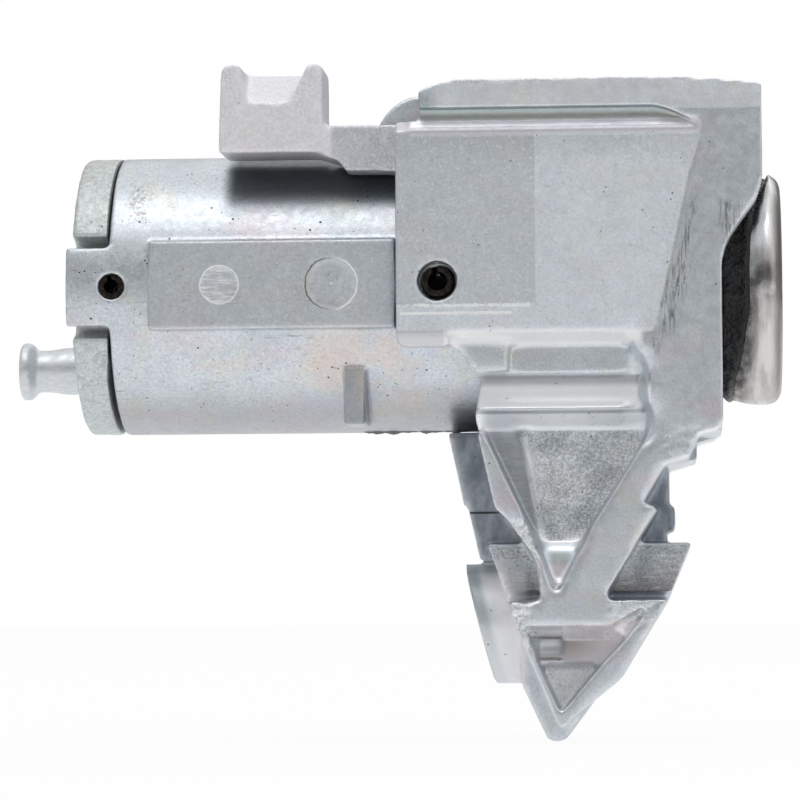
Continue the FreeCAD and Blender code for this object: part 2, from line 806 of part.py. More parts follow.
def makeWaferSpring(number):
    """Small coil between the foot of the wafer's slot and its ear."""
    room = "waferSpringFoot + waferLift - earHeight / 2 - 2 * waferPlay"
    coil = makeCoil(f"waferSpring{number + 1}", f"wafer_spring_{number + 1}",
                    "waferSpringRadius - waferWire / 2", "waferWire", "waferWire",
                    f"({room} - 2 * waferWire) / waferSpringTurns", "waferSpringTurns",
                    fineBends)
    up = 1 if number % 2 == 0 else -1
    if up < 0:
        coil.Placement.Rotation = FreeCAD.Rotation(FreeCAD.Vector(1, 0, 0), 180)
    side = f"{up} * (waferWidth / 2 + earReach / 2)"
    coil.setExpression("Placement.Base.x", bound(f"waferStart + {number} * waferPitch"))
    coil.setExpression("Placement.Base.y", bound(side))
    coil.setExpression("Placement.Base.z", bound(f"{-up} * (waferSpringFoot - waferPlay - waferWire / 2)"))
    return coil


def makeShutter():
    body = newBody("shutter")
    knuckle = sketchOn(body, "knuckle", "XY_Plane")
    ring(knuckle, "headFrontX - shutterPinInset", "shutterPinY", "knuckleRadius")
    extrude("Pad", knuckle, "2 * shutterHalfHeight", both=True)
    plate = sketchOn(body, "shutterPlate", "XY_Plane")
    front = "headFrontX - shutterPinInset + knuckleRadius"
    box(plate, front + " - shutterThickness", front, "shutterPinY - shutterReach", "shutterPinY")
    extrude("Pad", plate, "2 * shutterHalfHeight", both=True)
    bore = sketchOn(body, "knuckleBore", "XY_Plane")
    ring(bore, "headFrontX - shutterPinInset", "shutterPinY", "shutterPinRadius + turnedPlay")
    extrude("Pocket", bore, "2 * (shutterHalfHeight + overcut)", both=True)
    gap = sketchOn(body, "springGap", "XY_Plane")
    box(gap, front + " - 2 * knuckleRadius - overcut", front + " + overcut",
        "shutterPinY - knuckleRadius - shutterPlay", "shutterPinY + knuckleRadius + overcut")
    extrude("Pocket", gap, "2 * shutterSpringHalfLength + 2 * shutterPlay", both=True)
    return body


def makeShutterPin():
    body = newBody("shutterPin", "shutter_pin")
    sketch = sketchOn(body, "shutterPinCircle", "XY_Plane")
    ring(sketch, "headFrontX - shutterPinInset", "shutterPinY", "shutterPinRadius")
    extrude("Pad", sketch, "2 * shutterPinHalfLength", both=True)
    return body


def makeShutterSpring():
    wire = "shutterWire"
    coil = makeCoil("shutterSpring", "shutter_spring", "shutterPinRadius + 3 * turnedPlay + shutterWire / 2",
                    wire, wire, f"(2 * shutterSpringHalfLength - 2 * {wire}) / shutterSpringTurns",
                    "shutterSpringTurns", fineBends)
    coil.setExpression("Placement.Base.x", bound("headFrontX - shutterPinInset"))
    coil.setExpression("Placement.Base.y", bound("shutterPinY"))
    coil.setExpression("Placement.Base.z", bound("-shutterSpringHalfLength + shutterWire / 2"))
    return coil


def faceCapRear():
    return "headFrontX - headFlangeLength - faceCapWall"


def makeFaceCap():
    """Pressed cap, rolled over the front of the barrel's head flange and in behind it."""
    inner = "faceCapRadius - faceCapWall"
    rear = faceCapRear()
    front = "headFrontX + faceCapPlay + faceCapWall"
    return turned("faceCap", [
        (rear, "faceCapLipRadius"),
        (rear, "faceCapRadius"),
        (front + " - faceCapEdge", "faceCapRadius"),
        (front, "faceCapRadius - faceCapEdge"),
        (front, "faceOpeningRadius"),
        (front + " - faceCapWall", "faceOpeningRadius"),
        (front + " - faceCapWall", inner),
        ("headFrontX - headFlangeLength - turnedPlay", inner),
        ("headFrontX - headFlangeLength - turnedPlay", "faceCapLipRadius"),
    ], "face_cap")


def makeFaceSeal():
    rear = "frontEdgeX + sidePlay"
    front = faceCapRear() + " - sidePlay"
    return turned("faceSeal", [
        (rear, "neckRadius + turnedPlay"),
        (rear, "sealOuterRadius"),
        (front, "sealOuterRadius"),
        (front, "neckRadius + turnedPlay"),
    ], "face_seal")


def nearWallCorners():
    """Side view of the near wall: hood flange, plate, ribs and barbed arrow down to the tip."""
    return [
        ("0", "-plateBottomDrop + lipCorner"),
        ("0", "plateTop"),
        ("flangeStart", "plateTop"),
        ("flangeStart", "crownRearTop", "crownRearRadius", "right"),
        ("crownStartX", "crownTop"),
        ("crownEndX", "crownTop", "crownFrontRadius", "right"),
        ("hoodLength", "hoodEndTop"),
        ("hoodLength", "hoodCurveTop"),
        ("hoodLipX", "hoodLipZ"),
        ("hoodSlantX", "hoodSlantZ", "hoodCurveRadius", "left"),
        ("frontEdgeX", "hoodFoot"),
        ("frontEdgeX", "-frontBottomDrop + frontChamfer"),
        ("frontEdgeX - frontChamfer", "-frontBottomDrop - frontChamferDrop"),
        ("rightStepX", "-rightStepDrop"),
        ("rightShelfX", "-rightShelfDrop"),
        ("rightNeckX", "-rightNeckDrop"),
        ("rightNotchX", "-rightNotchDrop"),
        ("rightBarbX", "-rightBarbDrop"),
        ("slotFootX", "-slotFootDrop"),
        ("slotFootX + slotFootFlat", "-headDrop"),
        ("headRightX", "-headDrop"),
        ("headHipX", "-headHipDrop"),
        ("tipX + tipHalfWidth", "-tipDrop + tipRise", "tipRadius", "right"),
        ("tipX - tipFlat", "-tipDrop"),
        ("headLeftX", "-headDrop"),
        ("neckFootX", "-headDrop"),
        ("neckLeftX", "-neckLeftDrop"),
        ("leftStepX", "-leftStepDrop"),
        ("leftBarbX", "-leftBarbDrop"),
        ("ribNeckX", "-ribNeckDrop"),
        ("ribShoulderX", "-ribShoulderDrop"),
        ("ribStartX", "-plateBottomDrop"),
        ("lipCorner", "-plateBottomDrop", "lipCorner", "right"),
    ]


def makeGrooveTool():
    """Groove above the plate, with its bevel, ending in a slanted corner."""
    face = "bracketHalfDepth"
    floor = f"({face} - groovePocketDepth)"
    over = f"({face} + overcut)"
    section = crossSlab("grooveSection", [
        ("-" + over, "plateTop - grooveBevel * (1 + overcut / groovePocketDepth)"),
        ("-" + floor, "plateTop"),
        ("-" + floor, "flangeUnderside"),
        ("-" + over, "flangeUnderside + grooveDraft"),
    ], "-overcut", "hoodLength")
    view = sideSlab("grooveView", [
        ("-overcut", "plateTop - 2 * grooveBevel"),
        ("grooveEndX", "plateTop - 2 * grooveBevel"),
        ("grooveEndX", "grooveEndZ", "grooveBendRadius", "left"),
        ("grooveBendX", "flangeUnderside + grooveDraft"),
        ("-overcut", "flangeUnderside + 2 * grooveDraft"),
    ], over, floor + " - overcut")
    return common("grooveTool", section, view)


def makePlateTool():
    """Shallow step that sets the sand-blasted plate back from the smooth frame round it."""
    low = "-plateBottomDrop - overcut"
    return sideSlab("plateStepTool", [
        ("-overcut", low),
        ("ledgeStartX", low),
        ("ledgeStartX", "-ledgeDrop - plateStep"),
        ("plateRightLowX", "-ledgeDrop - plateStep"),
        ("plateRightMidX", "plateRightMidZ"),
        ("plateRightHighX", "plateRightHighZ"),
        ("plateCornerX", "plateCornerZ"),
        ("plateCornerX - plateCornerRun", "plateTop"),
        ("-overcut", "plateTop"),
    ], "bracketHalfDepth + overcut", "bracketHalfDepth - plateStep")


def makeLipTool():
    """Bevel along the foot of the plate's rear part."""
    face = "bracketHalfDepth"
    return crossSlab("lipTool", [
        (f"-{face}", "-ledgeDrop"),
        (f"-({face} - lipBevel)", "-plateBottomDrop - lipToe"),
        (f"-({face} + overcut)", "-plateBottomDrop - lipToe"),
        (f"-({face} + overcut)", "-ledgeDrop"),
    ], "-overcut", "lipEndX")


def makePanelTool():
    """Ledge, rounded bar and deep rough panel under the plate, between the two ribs."""
    face = "bracketHalfDepth"
    over = f"({face} + overcut)"
    ledge = f"({face} - ledgeDepth)"
    panel = f"({face} - panelDepth)"
    step = f"({face} - stepDepth)"
    section = crossSlab("panelSection", [
        ("-" + over, "-ledgeDrop + ledgeBevel * overcut / ledgeDepth"),
        ("-" + ledge, "-ledgeDrop - ledgeBevel"),
        ("-" + ledge, "-barTopDrop", "barBulgeRadius", "right"),
        ("-" + ledge, "-barBottomDrop"),
        ("-" + panel, "-panelTopDrop"),
        ("-" + panel, "-panelBottomDrop"),
        ("-" + step, "-panelBottomDrop - stepSlope"),
        ("-" + step, "-stepBottomDrop"),
        ("-" + over, "-panelFootDrop - panelFootSlope"),
    ], "0", "hoodLength")
    view = sideSlab("panelView", [
        ("recessStartX", "-ledgeDrop + overcut"),
        ("recessEndX", "-ledgeDrop + overcut"),
        ("recessEndX", "-ledgeDrop - recessNotchTop"),
        ("recessCornerX", "-ledgeDrop - ledgeBevel - recessNotchFoot"),
        ("recessEndX", "-barTopDrop"),
        ("barEndX", "-barTopDrop - barEdgeRise"),
        ("barEndX", "-barBottomDrop"),
        ("recessEndX", "-barBottomDrop - barEdgeRise"),
        ("recessEndX", "-panelTopDrop"),
        ("panelRightX", "-panelRightDrop"),
        ("panelFootX", "-panelFootDrop"),
        ("panelLowLeftX", "-panelBottomDrop"),
        ("panelLeftX", "-panelTopDrop - panelEdgeDrop"),
        ("ribNeckX - barOverrun", "-panelTopDrop + barEdgeRise"),
        ("ribNeckX - barOverrun", "-barTopDrop"),
        ("recessStartX", "-barTopDrop"),
    ], over, panel + " - overcut")
    return common("panelTool", section, view)


def makeShelfTool():
    """Shallower end of the ledge, on the left rib."""
    face = "bracketHalfDepth"
    over = f"({face} + overcut)"
    shelf = f"({face} - shelfDepth)"
    return crossSlab("shelfTool", [
        ("-" + over, "-ledgeDrop + ledgeBevel / 2 * overcut / shelfDepth"),
        ("-" + shelf, "-ledgeDrop - ledgeBevel / 2"),
        ("-" + shelf, "-barTopDrop"),
        ("-" + over, "-barTopDrop"),
    ], "ledgeStartX", "recessStartX + sidePlay")


def makeRidge():
    """Raised line down the panel's rough floor."""
    floor = "(bracketHalfDepth - panelDepth)"
    return sideSlab("ridge", [
        ("ridgeTopX", "-panelTopDrop"),
        ("ridgeFootX", "-ridgeFootDrop"),
        ("ridgeFootX + ridgeWidth", "-ridgeFootDrop"),
        ("ridgeTopX + ridgeWidth", "-panelTopDrop"),
    ], floor + " + ridgeHeight", floor + " - ridgeRoot")


def makeHeadTools():
    """Stepped recess and rough point of the arrowhead's face."""
    face = "bracketHalfDepth"
    over = f"({face} + overcut)"
    shallow = f"({face} - headPanelDepth)"
    deep = f"({face} - headPointDepth)"
    section = crossSlab("headSection", [
        ("-" + over, "-headPanelTopDrop + headPanelRise"),
        ("-" + shallow, "-headPanelTopDrop - headPanelRun"),
        ("-" + shallow, "-headPanelStepDrop"),
        ("-" + deep, "-headPanelStepDrop - headStepSlope"),
        ("-" + deep, "-headPointDrop - overcut"),
        ("-" + over, "-headPointDrop - overcut"),
    ], "0", "hoodLength")
    view = sideSlab("headView", [
        ("headPanelLeftX", "-headPanelTopDrop + headPanelRun"),
        ("headPanelRightX", "-headPanelTopDrop + headPanelRun"),
        ("headPanelRightX", "-headPanelTopDrop - headPanelRun"),
        ("headPanelRightX - headPanelRightTaper", "-headPanelStepDrop - headStepSlope / 2"),
        ("headPointX", "-headPointDrop"),
        ("headPanelLeftX + headPanelLeftTaper", "-headPanelStepDrop"),
    ], over, deep + " - overcut")
    panel = common("headTool", section, view)
    shoulder = sideSlab("headShoulder", [
        ("headShoulderX", "-headPanelTopDrop + headShoulderRise"),
        ("headShoulderPeakX", "-headShoulderPeakDrop"),
        ("headPanelRightX", "-headPanelTopDrop - headPanelRun"),
        ("headShoulderX", "-headPanelTopDrop - headPanelRun / 2"),
    ], over, f"({face} - headShoulderDepth)")
    groove = newBody("headGroove")
    circle = sketchOn(groove, "headGrooveCircle", "YZ_Plane", "headPanelLeftX + headPanelRun")
    ring(circle, "-" + shallow, "-(headPanelTopDrop + headPanelStepDrop) / 2", "headGrooveRadius")
    extrude("Pad", circle, "headGrooveX - headPanelLeftX - headPanelRun")
    return [panel, shoulder, groove]


def makeBracket():
    near = sideSlab("nearWall", nearWallCorners(), "bracketHalfDepth", "wallInnerDepth")
    tools = [makePlateTool(), makeLipTool(), makeGrooveTool(), makePanelTool(), makeShelfTool()]
    hollowed = cut("hollowedWall", near, fused("nearTools", tools + makeHeadTools()))
    nearSide = fused("nearSide", [hollowed, makeRidge()])
    farSide = doc.addObject("Part::Mirroring", "farSide")
    farSide.Source = nearSide
    farSide.Normal = FreeCAD.Vector(0, 1, 0)
    web = sideSlab("middleWeb", [
        ("-webRearX", "webRearFoot"),
        ("-webRearX", "webCornerZ", "webCornerRadius", "right"),
        ("webCornerX", "webCornerTop"),
        ("crownStartX", "crownTop"),
        ("crownEndX", "crownTop", "crownFrontRadius", "right"),
        ("hoodLength", "hoodEndTop"),
        ("hoodLength", "hoodCurveTop"),
        ("frontEdgeX", "hoodCurveTop"),
        ("frontEdgeX", "-frontBottomDrop"),
        ("webShelfX", "-frontBottomDrop"),
        ("webShelfX", "-webShelfDrop"),
        ("webNeckX", "-webShelfDrop - webShelfSlope"),
        ("webNeckX", "-webBarTopDrop + webBarSlope"),
        ("webBarX", "-webBarTopDrop"),
        ("webBarX", "-webBarBottomDrop"),
        ("webNeckX - webNeckStep", "-webBarBottomDrop - webBarFootSlope"),
        ("webNeckX - webNeckStep", "-headDrop"),
        ("headHipX - webHipInset", "-headHipDrop"),
        ("webTipX + webTipHalfWidth", "-webTipDrop", "webTipRadius", "right"),
        ("webTipX - webTipHalfWidth", "-webTipDrop"),
        ("webInnerX", "-webBendDrop"),
        ("webInnerX", "-webLowDrop"),
        ("webLowX", "-webLowDrop"),
        ("webMidX + webStep", "-webMidDrop - webStepDrop"),
        ("webMidX", "-webMidDrop"),
        ("webFootX", "-webFootDrop"),
        ("ribShoulderX", "-webFootDrop"),
        ("ribShoulderX", "-webRearFoot"),
        ("0", "-webRearFoot"),
        ("0", "webRearFoot"),
    ], "wallInnerDepth", "-wallInnerDepth")
    head = sideSlab("arrowHead", [
        ("arrowLeftX", "-arrowTopDrop"),
        ("arrowRightX", "-arrowTopDrop"),
        ("headRightX", "-headDrop"),
        ("headHipX - headHipInset", "-headHipDrop"),
        ("tipX", "-tipDrop + tipRise"),
        ("headLeftX", "-headDrop"),
    ], "arrowHalfDepth", "-arrowHalfDepth")
    gapFace = "(arrowHalfDepth - neckGapDepth)"
    neckGap = sideSlab("neckGap", [
        ("arrowLeftX - overcut", "-headDrop"),
        ("arrowRightX + overcut", "-headDrop"),
        ("arrowRightX + overcut", "-headDrop + neckGapHeight"),
        ("arrowLeftX - overcut", "-headDrop + neckGapHeight"),
    ], "arrowHalfDepth + overcut", gapFace)
    farNeckGap = doc.addObject("Part::Mirroring", "farNeckGap")
    farNeckGap.Source = neckGap
    farNeckGap.Normal = FreeCAD.Vector(0, 1, 0)
    notchedHead = cut("notchedHead", head, fused("neckGaps", [neckGap, farNeckGap]))
    bossRound = newBody("bossRound")
    bossCircle = sketchOn(bossRound, "bossCircle", "YZ_Plane", "0")
    ring(bossCircle, "0", "-bossDrop", "bossRadius")
    extrude("Pad", bossCircle, "bossEndX")
    bossView = sideSlab("bossView", [
        ("bossTopX", "-bossDrop + bossRadius"),
        ("bossBottomX", "-bossDrop - bossRadius"),
        ("bossEndX", "-bossDrop - bossRadius"),
        ("bossEndX", "-bossDrop + bossRadius"),
    ], "bossRadius", "-bossRadius")
    boss = common("boss", bossRound, bossView)
    block = sideSlab("screwLug", [
        ("-blockLeftX", "blockBottom"),
        ("-blockRightX", "blockBottom"),
        ("-blockRightX", "blockTop - hornChamfer"),
        ("-blockRightX - hornChamfer", "blockTop"),
        ("-blockLeftX + blockTaper + hornChamfer", "blockTop"),
        ("-blockLeftX + blockTaper", "blockTop - hornChamfer"),
    ], "lugBlockNear", "lugBlockFar")
    arm = sideSlab("arm", [
        ("-blockRightX - armRoot", "blockBottom"),
        ("-armHeelX", "blockBottom - armHeelDrop"),
        ("-armToeX", "armBottom + armToeRise"),
        ("armRootX", "armBottom"),
        ("armRootX", "armTop"),
        ("-blockRightX - armRoot", "armTop"),
    ], "armNear", "armFar")
    notchView = sideSlab("notchView", [
        ("-notchLeftX", "notchFloor"),
        ("-notchRightX", "notchFloor"),
        ("-notchRightX + notchRightFlare", "blockTop + notchOverrun"),
        ("-notchLeftX - notchLeftFlare", "blockTop + notchOverrun"),
    ], "lugBlockNear + overcut", "lugBlockFar - overcut")
    beyond = "notchRise * overcut / (lugBlockNear - lugBlockFar)"
    notchRamp = crossSlab("notchRamp", [
        ("-lugBlockNear - overcut", "notchFloor - " + beyond),
        ("-lugBlockFar + overcut", "notchFloor + notchRise + " + beyond),
        ("-lugBlockNear - overcut", "notchFloor + 2 * notchRise"),
    ], "-blockLeftX", "-blockRightX")
    notch = common("notch", notchView, notchRamp)
    bore = turned("bracketBore", [
        ("-blockLeftX - overcut", "0"),
        ("-blockLeftX - overcut", "barrelRadius + barrelPlay"),
        ("shoulderX + sidePlay", "barrelRadius + barrelPlay"),
        ("shoulderX + sidePlay", "neckHoleRadius"),
        ("frontEdgeX", "neckHoleRadius"),
        ("frontEdgeX", "capRecessRadius"),
        ("hoodLength + overcut", "capRecessRadius"),
        ("hoodLength + overcut", "0"),
    ])
    pinHole = rod("bracketPinPassage", "bracketPinHole", "bracketPinX", "0",
                  "bracketHalfDepth + overcut", "bracketPinEnd")
    solid = fused("bracketBlank", [nearSide, farSide, web, notchedHead, boss, block, arm])
    whole = cut("bracketPiece", solid, fused("bracketTools", [notch, bore, pinHole]))
    whole.Label = "bracket"
    return whole


waferCount = 6

parts = [makeBracket(), makeBarrel(), makeRearCap(), makeCrank(), makeReturnSpring()]
parts.append(makeSpringPin("bracketPin", "bracket_pin", "bracketPinRadius", "bracketPinBore",
                           "bracketPinX", "bracketHalfDepth - bracketPinInset",
                           "bracketHalfDepth - bracketPinInset - bracketPinEnd"))
parts.append(makeSpringPin("capPin", "rear_cap_pin", "capPinRadius", "capPinBore",
                           "-barrelRear + capPinSetback", "barrelRadius - capPinInset", "capPinLength"))
parts += [makeFaceCap(), makeFaceSeal(), makePlug(), makeSleeve(), makeClip()]
parts += [makeShutter(), makeShutterPin(), makeShutterSpring()]
for number in range(waferCount):
    parts.append(makeWafer(number))
    parts.append(makeWaferSpring(number))

doc.recompute()

faults = [f"{item.Label}: {item.State}" for item in doc.Objects
          if "Invalid" in item.State or "Error" in item.State]
for item in parts:
    if item.Shape.isNull() or not item.Shape.isValid() or not item.Shape.Solids:
        faults.append(f"{item.Label}: no valid solid")
if faults:
    raise RuntimeError("; ".join(faults))

os.makedirs("parts", exist_ok=True)
for item in parts:
    item.Shape.exportStep(f"parts/{item.Label}.step")
    extent = item.Shape.BoundBox
    print(f"{item.Label}: {len(item.Shape.Solids)} solid, {item.Shape.Volume:.1f} mm3, "
          f"X {extent.XMin:.2f} to {extent.XMax:.2f}, Y {extent.YMin:.2f} to {extent.YMax:.2f}, "
          f"Z {extent.ZMin:.2f} to {extent.ZMax:.2f}")
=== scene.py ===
import math

import bmesh
import bpy
import numpy
from mathutils import Matrix, Vector
from mathutils.kdtree import KDTree
from mathutils.noise import turbulence


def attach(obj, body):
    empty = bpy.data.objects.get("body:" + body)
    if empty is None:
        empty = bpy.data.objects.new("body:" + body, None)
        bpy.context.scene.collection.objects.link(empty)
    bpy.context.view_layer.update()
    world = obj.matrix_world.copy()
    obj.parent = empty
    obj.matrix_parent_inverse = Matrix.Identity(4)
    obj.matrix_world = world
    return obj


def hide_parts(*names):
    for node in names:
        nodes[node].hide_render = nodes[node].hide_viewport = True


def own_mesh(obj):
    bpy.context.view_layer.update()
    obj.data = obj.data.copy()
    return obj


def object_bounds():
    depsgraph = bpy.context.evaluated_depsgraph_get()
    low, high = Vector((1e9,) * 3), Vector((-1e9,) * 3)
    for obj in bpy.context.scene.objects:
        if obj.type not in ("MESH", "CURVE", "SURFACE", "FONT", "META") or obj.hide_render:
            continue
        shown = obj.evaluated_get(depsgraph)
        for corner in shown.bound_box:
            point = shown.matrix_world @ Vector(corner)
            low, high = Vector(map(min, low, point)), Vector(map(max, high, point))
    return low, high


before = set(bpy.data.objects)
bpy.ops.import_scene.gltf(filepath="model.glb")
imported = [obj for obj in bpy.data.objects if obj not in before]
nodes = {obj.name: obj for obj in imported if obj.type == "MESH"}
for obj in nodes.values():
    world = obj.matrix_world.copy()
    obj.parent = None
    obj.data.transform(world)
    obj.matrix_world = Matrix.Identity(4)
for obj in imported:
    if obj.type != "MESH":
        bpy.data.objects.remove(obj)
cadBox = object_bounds()
mm = 0.001

print("stage: frame loaded,", len(nodes), "nodes")

# camera, at the photograph's angle
shot = {
    "azimuth": 4.0,
    "elevation": -3.0,
    "roll": 0.35,
    "distance": 400 * mm,
    "target": Vector((-0.75, 0, -10.6)) * mm,
    "lens": 180,
}


def placeCamera():
    azimuth, elevation = math.radians(shot["azimuth"]), math.radians(shot["elevation"])
    roll = math.radians(shot["roll"])
    back = Vector((math.sin(azimuth) * math.cos(elevation),
                   -math.cos(azimuth) * math.cos(elevation), math.sin(elevation)))
    level = Vector((math.cos(azimuth), math.sin(azimuth), 0))
    upright = back.cross(level)
    right = level * math.cos(roll) - upright * math.sin(roll)
    up = level * math.sin(roll) + upright * math.cos(roll)
    placed = Matrix((right, up, back)).transposed().to_4x4()
    placed.translation = shot["target"] + back * shot["distance"]
    lens = bpy.data.cameras.new("photoCamera")
    lens.lens = shot["lens"]
    lens.sensor_width = 36
    lens.clip_start = 0.01
    lens.clip_end = 10
    camera = bpy.data.objects.new("photoCamera", lens)
    camera.matrix_world = placed
    bpy.context.scene.collection.objects.link(camera)
    bpy.context.scene.camera = camera


placeCamera()
bpy.context.scene.view_settings.view_transform = "Standard"
print("stage: camera placed")


# node helpers work in the tree that was opened last; from put on, each returns output sockets
current = {}


def openTree(owner):
    owner.use_nodes = True
    current["owner"] = owner
    current["nodes"] = owner.node_tree.nodes
    current["links"] = owner.node_tree.links


def feed(value, socket):
    if isinstance(value, bpy.types.NodeSocket):
        current["links"].new(value, socket)
    else:
        socket.default_value = value


def newNode(kind, inputs=None, **settings):
    node = current["nodes"].new("ShaderNode" + kind)
    for key, value in settings.items():
        setattr(node, key, value)
    for key, value in (inputs or {}).items():
        feed(value, node.inputs[key])
    return node


def put(kind, inputs=None, out=0, **settings):
    return newNode(kind, inputs, **settings).outputs[out]


def split(vector):
    return newNode("SeparateXYZ", {0: vector}).outputs[:]


def pair(a, b, operation):
    return put("Math", {0: a, 1: b}, operation=operation)


def times(*parts):
    result = parts[0]
    for part in parts[1:]:
        result = pair(result, part, "MULTIPLY")
    return result


# a sum that stays within 0 and 1
def plus(*parts):
    result = parts[0]
    for part in parts[1:]:
        result = put("Math", {0: result, 1: part}, operation="ADD", use_clamp=True)
    return result


def total(a, b):
    return pair(a, b, "ADD")


def less(a, b):
    return pair(a, b, "SUBTRACT")


def unsigned(value):
    return put("Math", {0: value}, operation="ABSOLUTE")


def ramp(value, start, end, low=0.0, high=1.0):
    return put("MapRange", {0: value, 1: start, 2: end, 3: low, 4: high},
               interpolation_type="SMOOTHSTEP")


def inside(value, start, end, soft):
    return times(ramp(value, start - soft, start + soft),
                 ramp(value, end - soft, end + soft, 1.0, 0.0))


# 1 inside a box from low to high in millimetres, falling off over soft
def zone(place, low, high, soft):
    centre = [(a + b) / 2 for a, b in zip(low, high)]
    half = [(b - a) / 2 for a, b in zip(low, high)]
    away = put("VectorMath", {0: place, 1: centre}, operation="SUBTRACT")
    away = put("VectorMath", {0: away}, operation="ABSOLUTE")
    away = put("VectorMath", {0: away, 1: half}, operation="SUBTRACT")
    alongX, alongY, alongZ = split(away)
    most = pair(pair(alongX, alongY, "MAXIMUM"), alongZ, "MAXIMUM")
    return ramp(most, -soft, soft, 1.0, 0.0)


# a zone for each named box: low corner, high corner, soft edge
def zones(place, boxes):
    return {name: zone(place, *box) for name, box in boxes.items()}


def distance(place, centre):
    return put("VectorMath", {0: place, 1: centre}, out=1, operation="DISTANCE")


def noise(place, scale, detail=3.0, rough=0.55):
    return put("TexNoise", {"Vector": place, "Scale": scale, "Detail": detail, "Roughness": rough})


def stretched(place, scale, turn=(0, 0, 0)):
    return put("Mapping", {"Vector": place, "Scale": scale, "Rotation": turn})


def tint(fac, a, b, mode="MIX"):
    return put("Mix", {0: fac, 6: a, 7: b}, out=2, data_type="RGBA", blend_type=mode)


# one more coat: the tone covers the colour by the product of its masks
def paint(colour, tone, *masks):
    return tint(times(*masks), colour, tone)


def shaded(colour, amount):
    return tint(1.0, colour, put("CombineColor", {0: amount, 1: amount, 2: amount}), "MULTIPLY")


def grey(level, blue=0.0):
    return (level * (1 - blue), level, level * (1 + blue), 1)


# a mark that the piece's own mesh carries, see skinCopy and makeCap
def mark(name):
    return put("Attribute", out=2, attribute_name=name)


# opens a new material and returns the place on the object in millimetres
def startMaterial(name):
    openTree(bpy.data.materials.new(name))
    return put("Mapping", {"Vector": put("TexCoord", out=3), "Scale": (1000, 1000, 1000)})


# height's bump has a strength and a reach in millimetres
def finishMaterial(colour, metallic, roughness, height, strength, reach=0.1):
    bump = put("Bump", {"Height": height, "Strength": strength, "Distance": reach * mm})
    shader = current["nodes"]["Principled BSDF"]
    sockets = {"Base Color": colour, "Metallic": metallic, "Roughness": roughness, "Normal": bump}
    for name, value in sockets.items():
        feed(value, shader.inputs[name])
    return current["owner"]


# zinc castings; a plating film has its tone, stretch, scale, start and strength
zinc = {
    "metallic": 0.85,
    "light": grey(0.74, 0.06),
    "shade": grey(0.66, 0.07),
    "films": [
        ((0.72, 0.64, 0.70, 1), (1, 1, 2.2), 0.13, 0.52, 0.6),
        ((0.70, 0.70, 0.60, 1), (1.7, 1, 1), 0.17, 0.54, 0.5),
    ],
    "bright": grey(0.93, 0.02),
    "blank": grey(0.95, 0.0),
    "dirt": (0.045, 0.042, 0.04, 1),
    "grain": 4.5,
}


# bluish grey with broad clouds, the faint rose and straw of its plating, dirt and painted shade in the
# hollows, painted shade on the edges
def castColour(place, fine, hollowDirtAndShade=0.75):
    clouds = ramp(noise(place, 0.25, 5, 0.6), 0.3, 0.7)
    colour = tint(clouds, zinc["shade"], zinc["light"])
    for tone, stretch, scale, start, strength in zinc["films"]:
        patches = noise(stretched(place, stretch), scale, 2)
        colour = paint(colour, tone, ramp(patches, start, start + 0.18, 0, strength))
    grain = ramp(noise(place, zinc["grain"] * fine, 5, 0.75), 0.3, 0.7, 0.84, 1.12)
    colour = shaded(colour, grain)
    # dirt and painted shade darken the hollows
    hollow = mark("hollow")
    colour = paint(colour, grey(0.16, 0.05), ramp(hollow, 0.12, 0.9, 0, hollowDirtAndShade),
                   ramp(noise(place, 1.2, 4, 0.7), 0.3, 0.6, 0.35, 1.0))
    # painted shade darkens the edges in patches
    return paint(colour, grey(0.4, 0.05), ramp(hollow, -0.15, -0.8, 0, 0.5),
                 ramp(noise(place, 0.9, 4, 0.7), 0.35, 0.6, 1, 0.4))


# scattered small pores, 1 in a pore
def pits(place, scale, size, share):
    cells = put("TexVoronoi", {"Vector": place, "Scale": scale, "Randomness": 1.0})
    chosen = ramp(noise(place, scale * 0.37, 2), share, share + 0.05)
    return times(ramp(cells, size * 0.5, size, 1.0, 0.0), chosen)


# short fine scratches in one direction
def scratches(place, turn, scale, share):
    long = noise(stretched(place, (0.3, 5.0, 5.0), (0, turn, 0)), scale, 2)
    return times(ramp(long, 0.67, 0.7),
                 ramp(noise(place, 0.35, 2), share, share + 0.08))


# painted boxes on the barrel, and the ejector marks on its pad: centre and radius
barrelPaint = {
    "boxes": {
        "pad": ((-24.2, -14.6, -4.35), (-0.2, -14.33, 4.35), 0.04),
        "rib": ((-5.6, -12.0, -13.8), (-3.25, -11.68, -8.0), 0.04),
        "warm": ((-9, -15, -12.5), (4, -6, -4.5), 1.5),
        "cool": ((-11, -15, -12.5), (4, -6, -4.5), 1.5),
        "pinBoreShade": ((3, -15.2, -1), (5, -9, 1), 0.1),
        "smudge": ((-26.5, -14, 6.5), (-24.3, -8, 10.5), 0.5),
    },
    "leftMark": ((-17.25, -14.4, 0), 1.85),
    "rightMark": ((-6.36, -14.4, 0), 2.5),
}


# a round mark of an ejector on the pad: its disc and its rim
def ejector(place, centre, radius):
    wobble = times(less(noise(place, 1.5, 3), 0.5), 0.3)
    away = total(distance(place, centre), wobble)
    return (ramp(away, radius - 0.06, radius + 0.06, 1, 0),
            inside(away, radius - 0.05, radius + 0.09, 0.05))


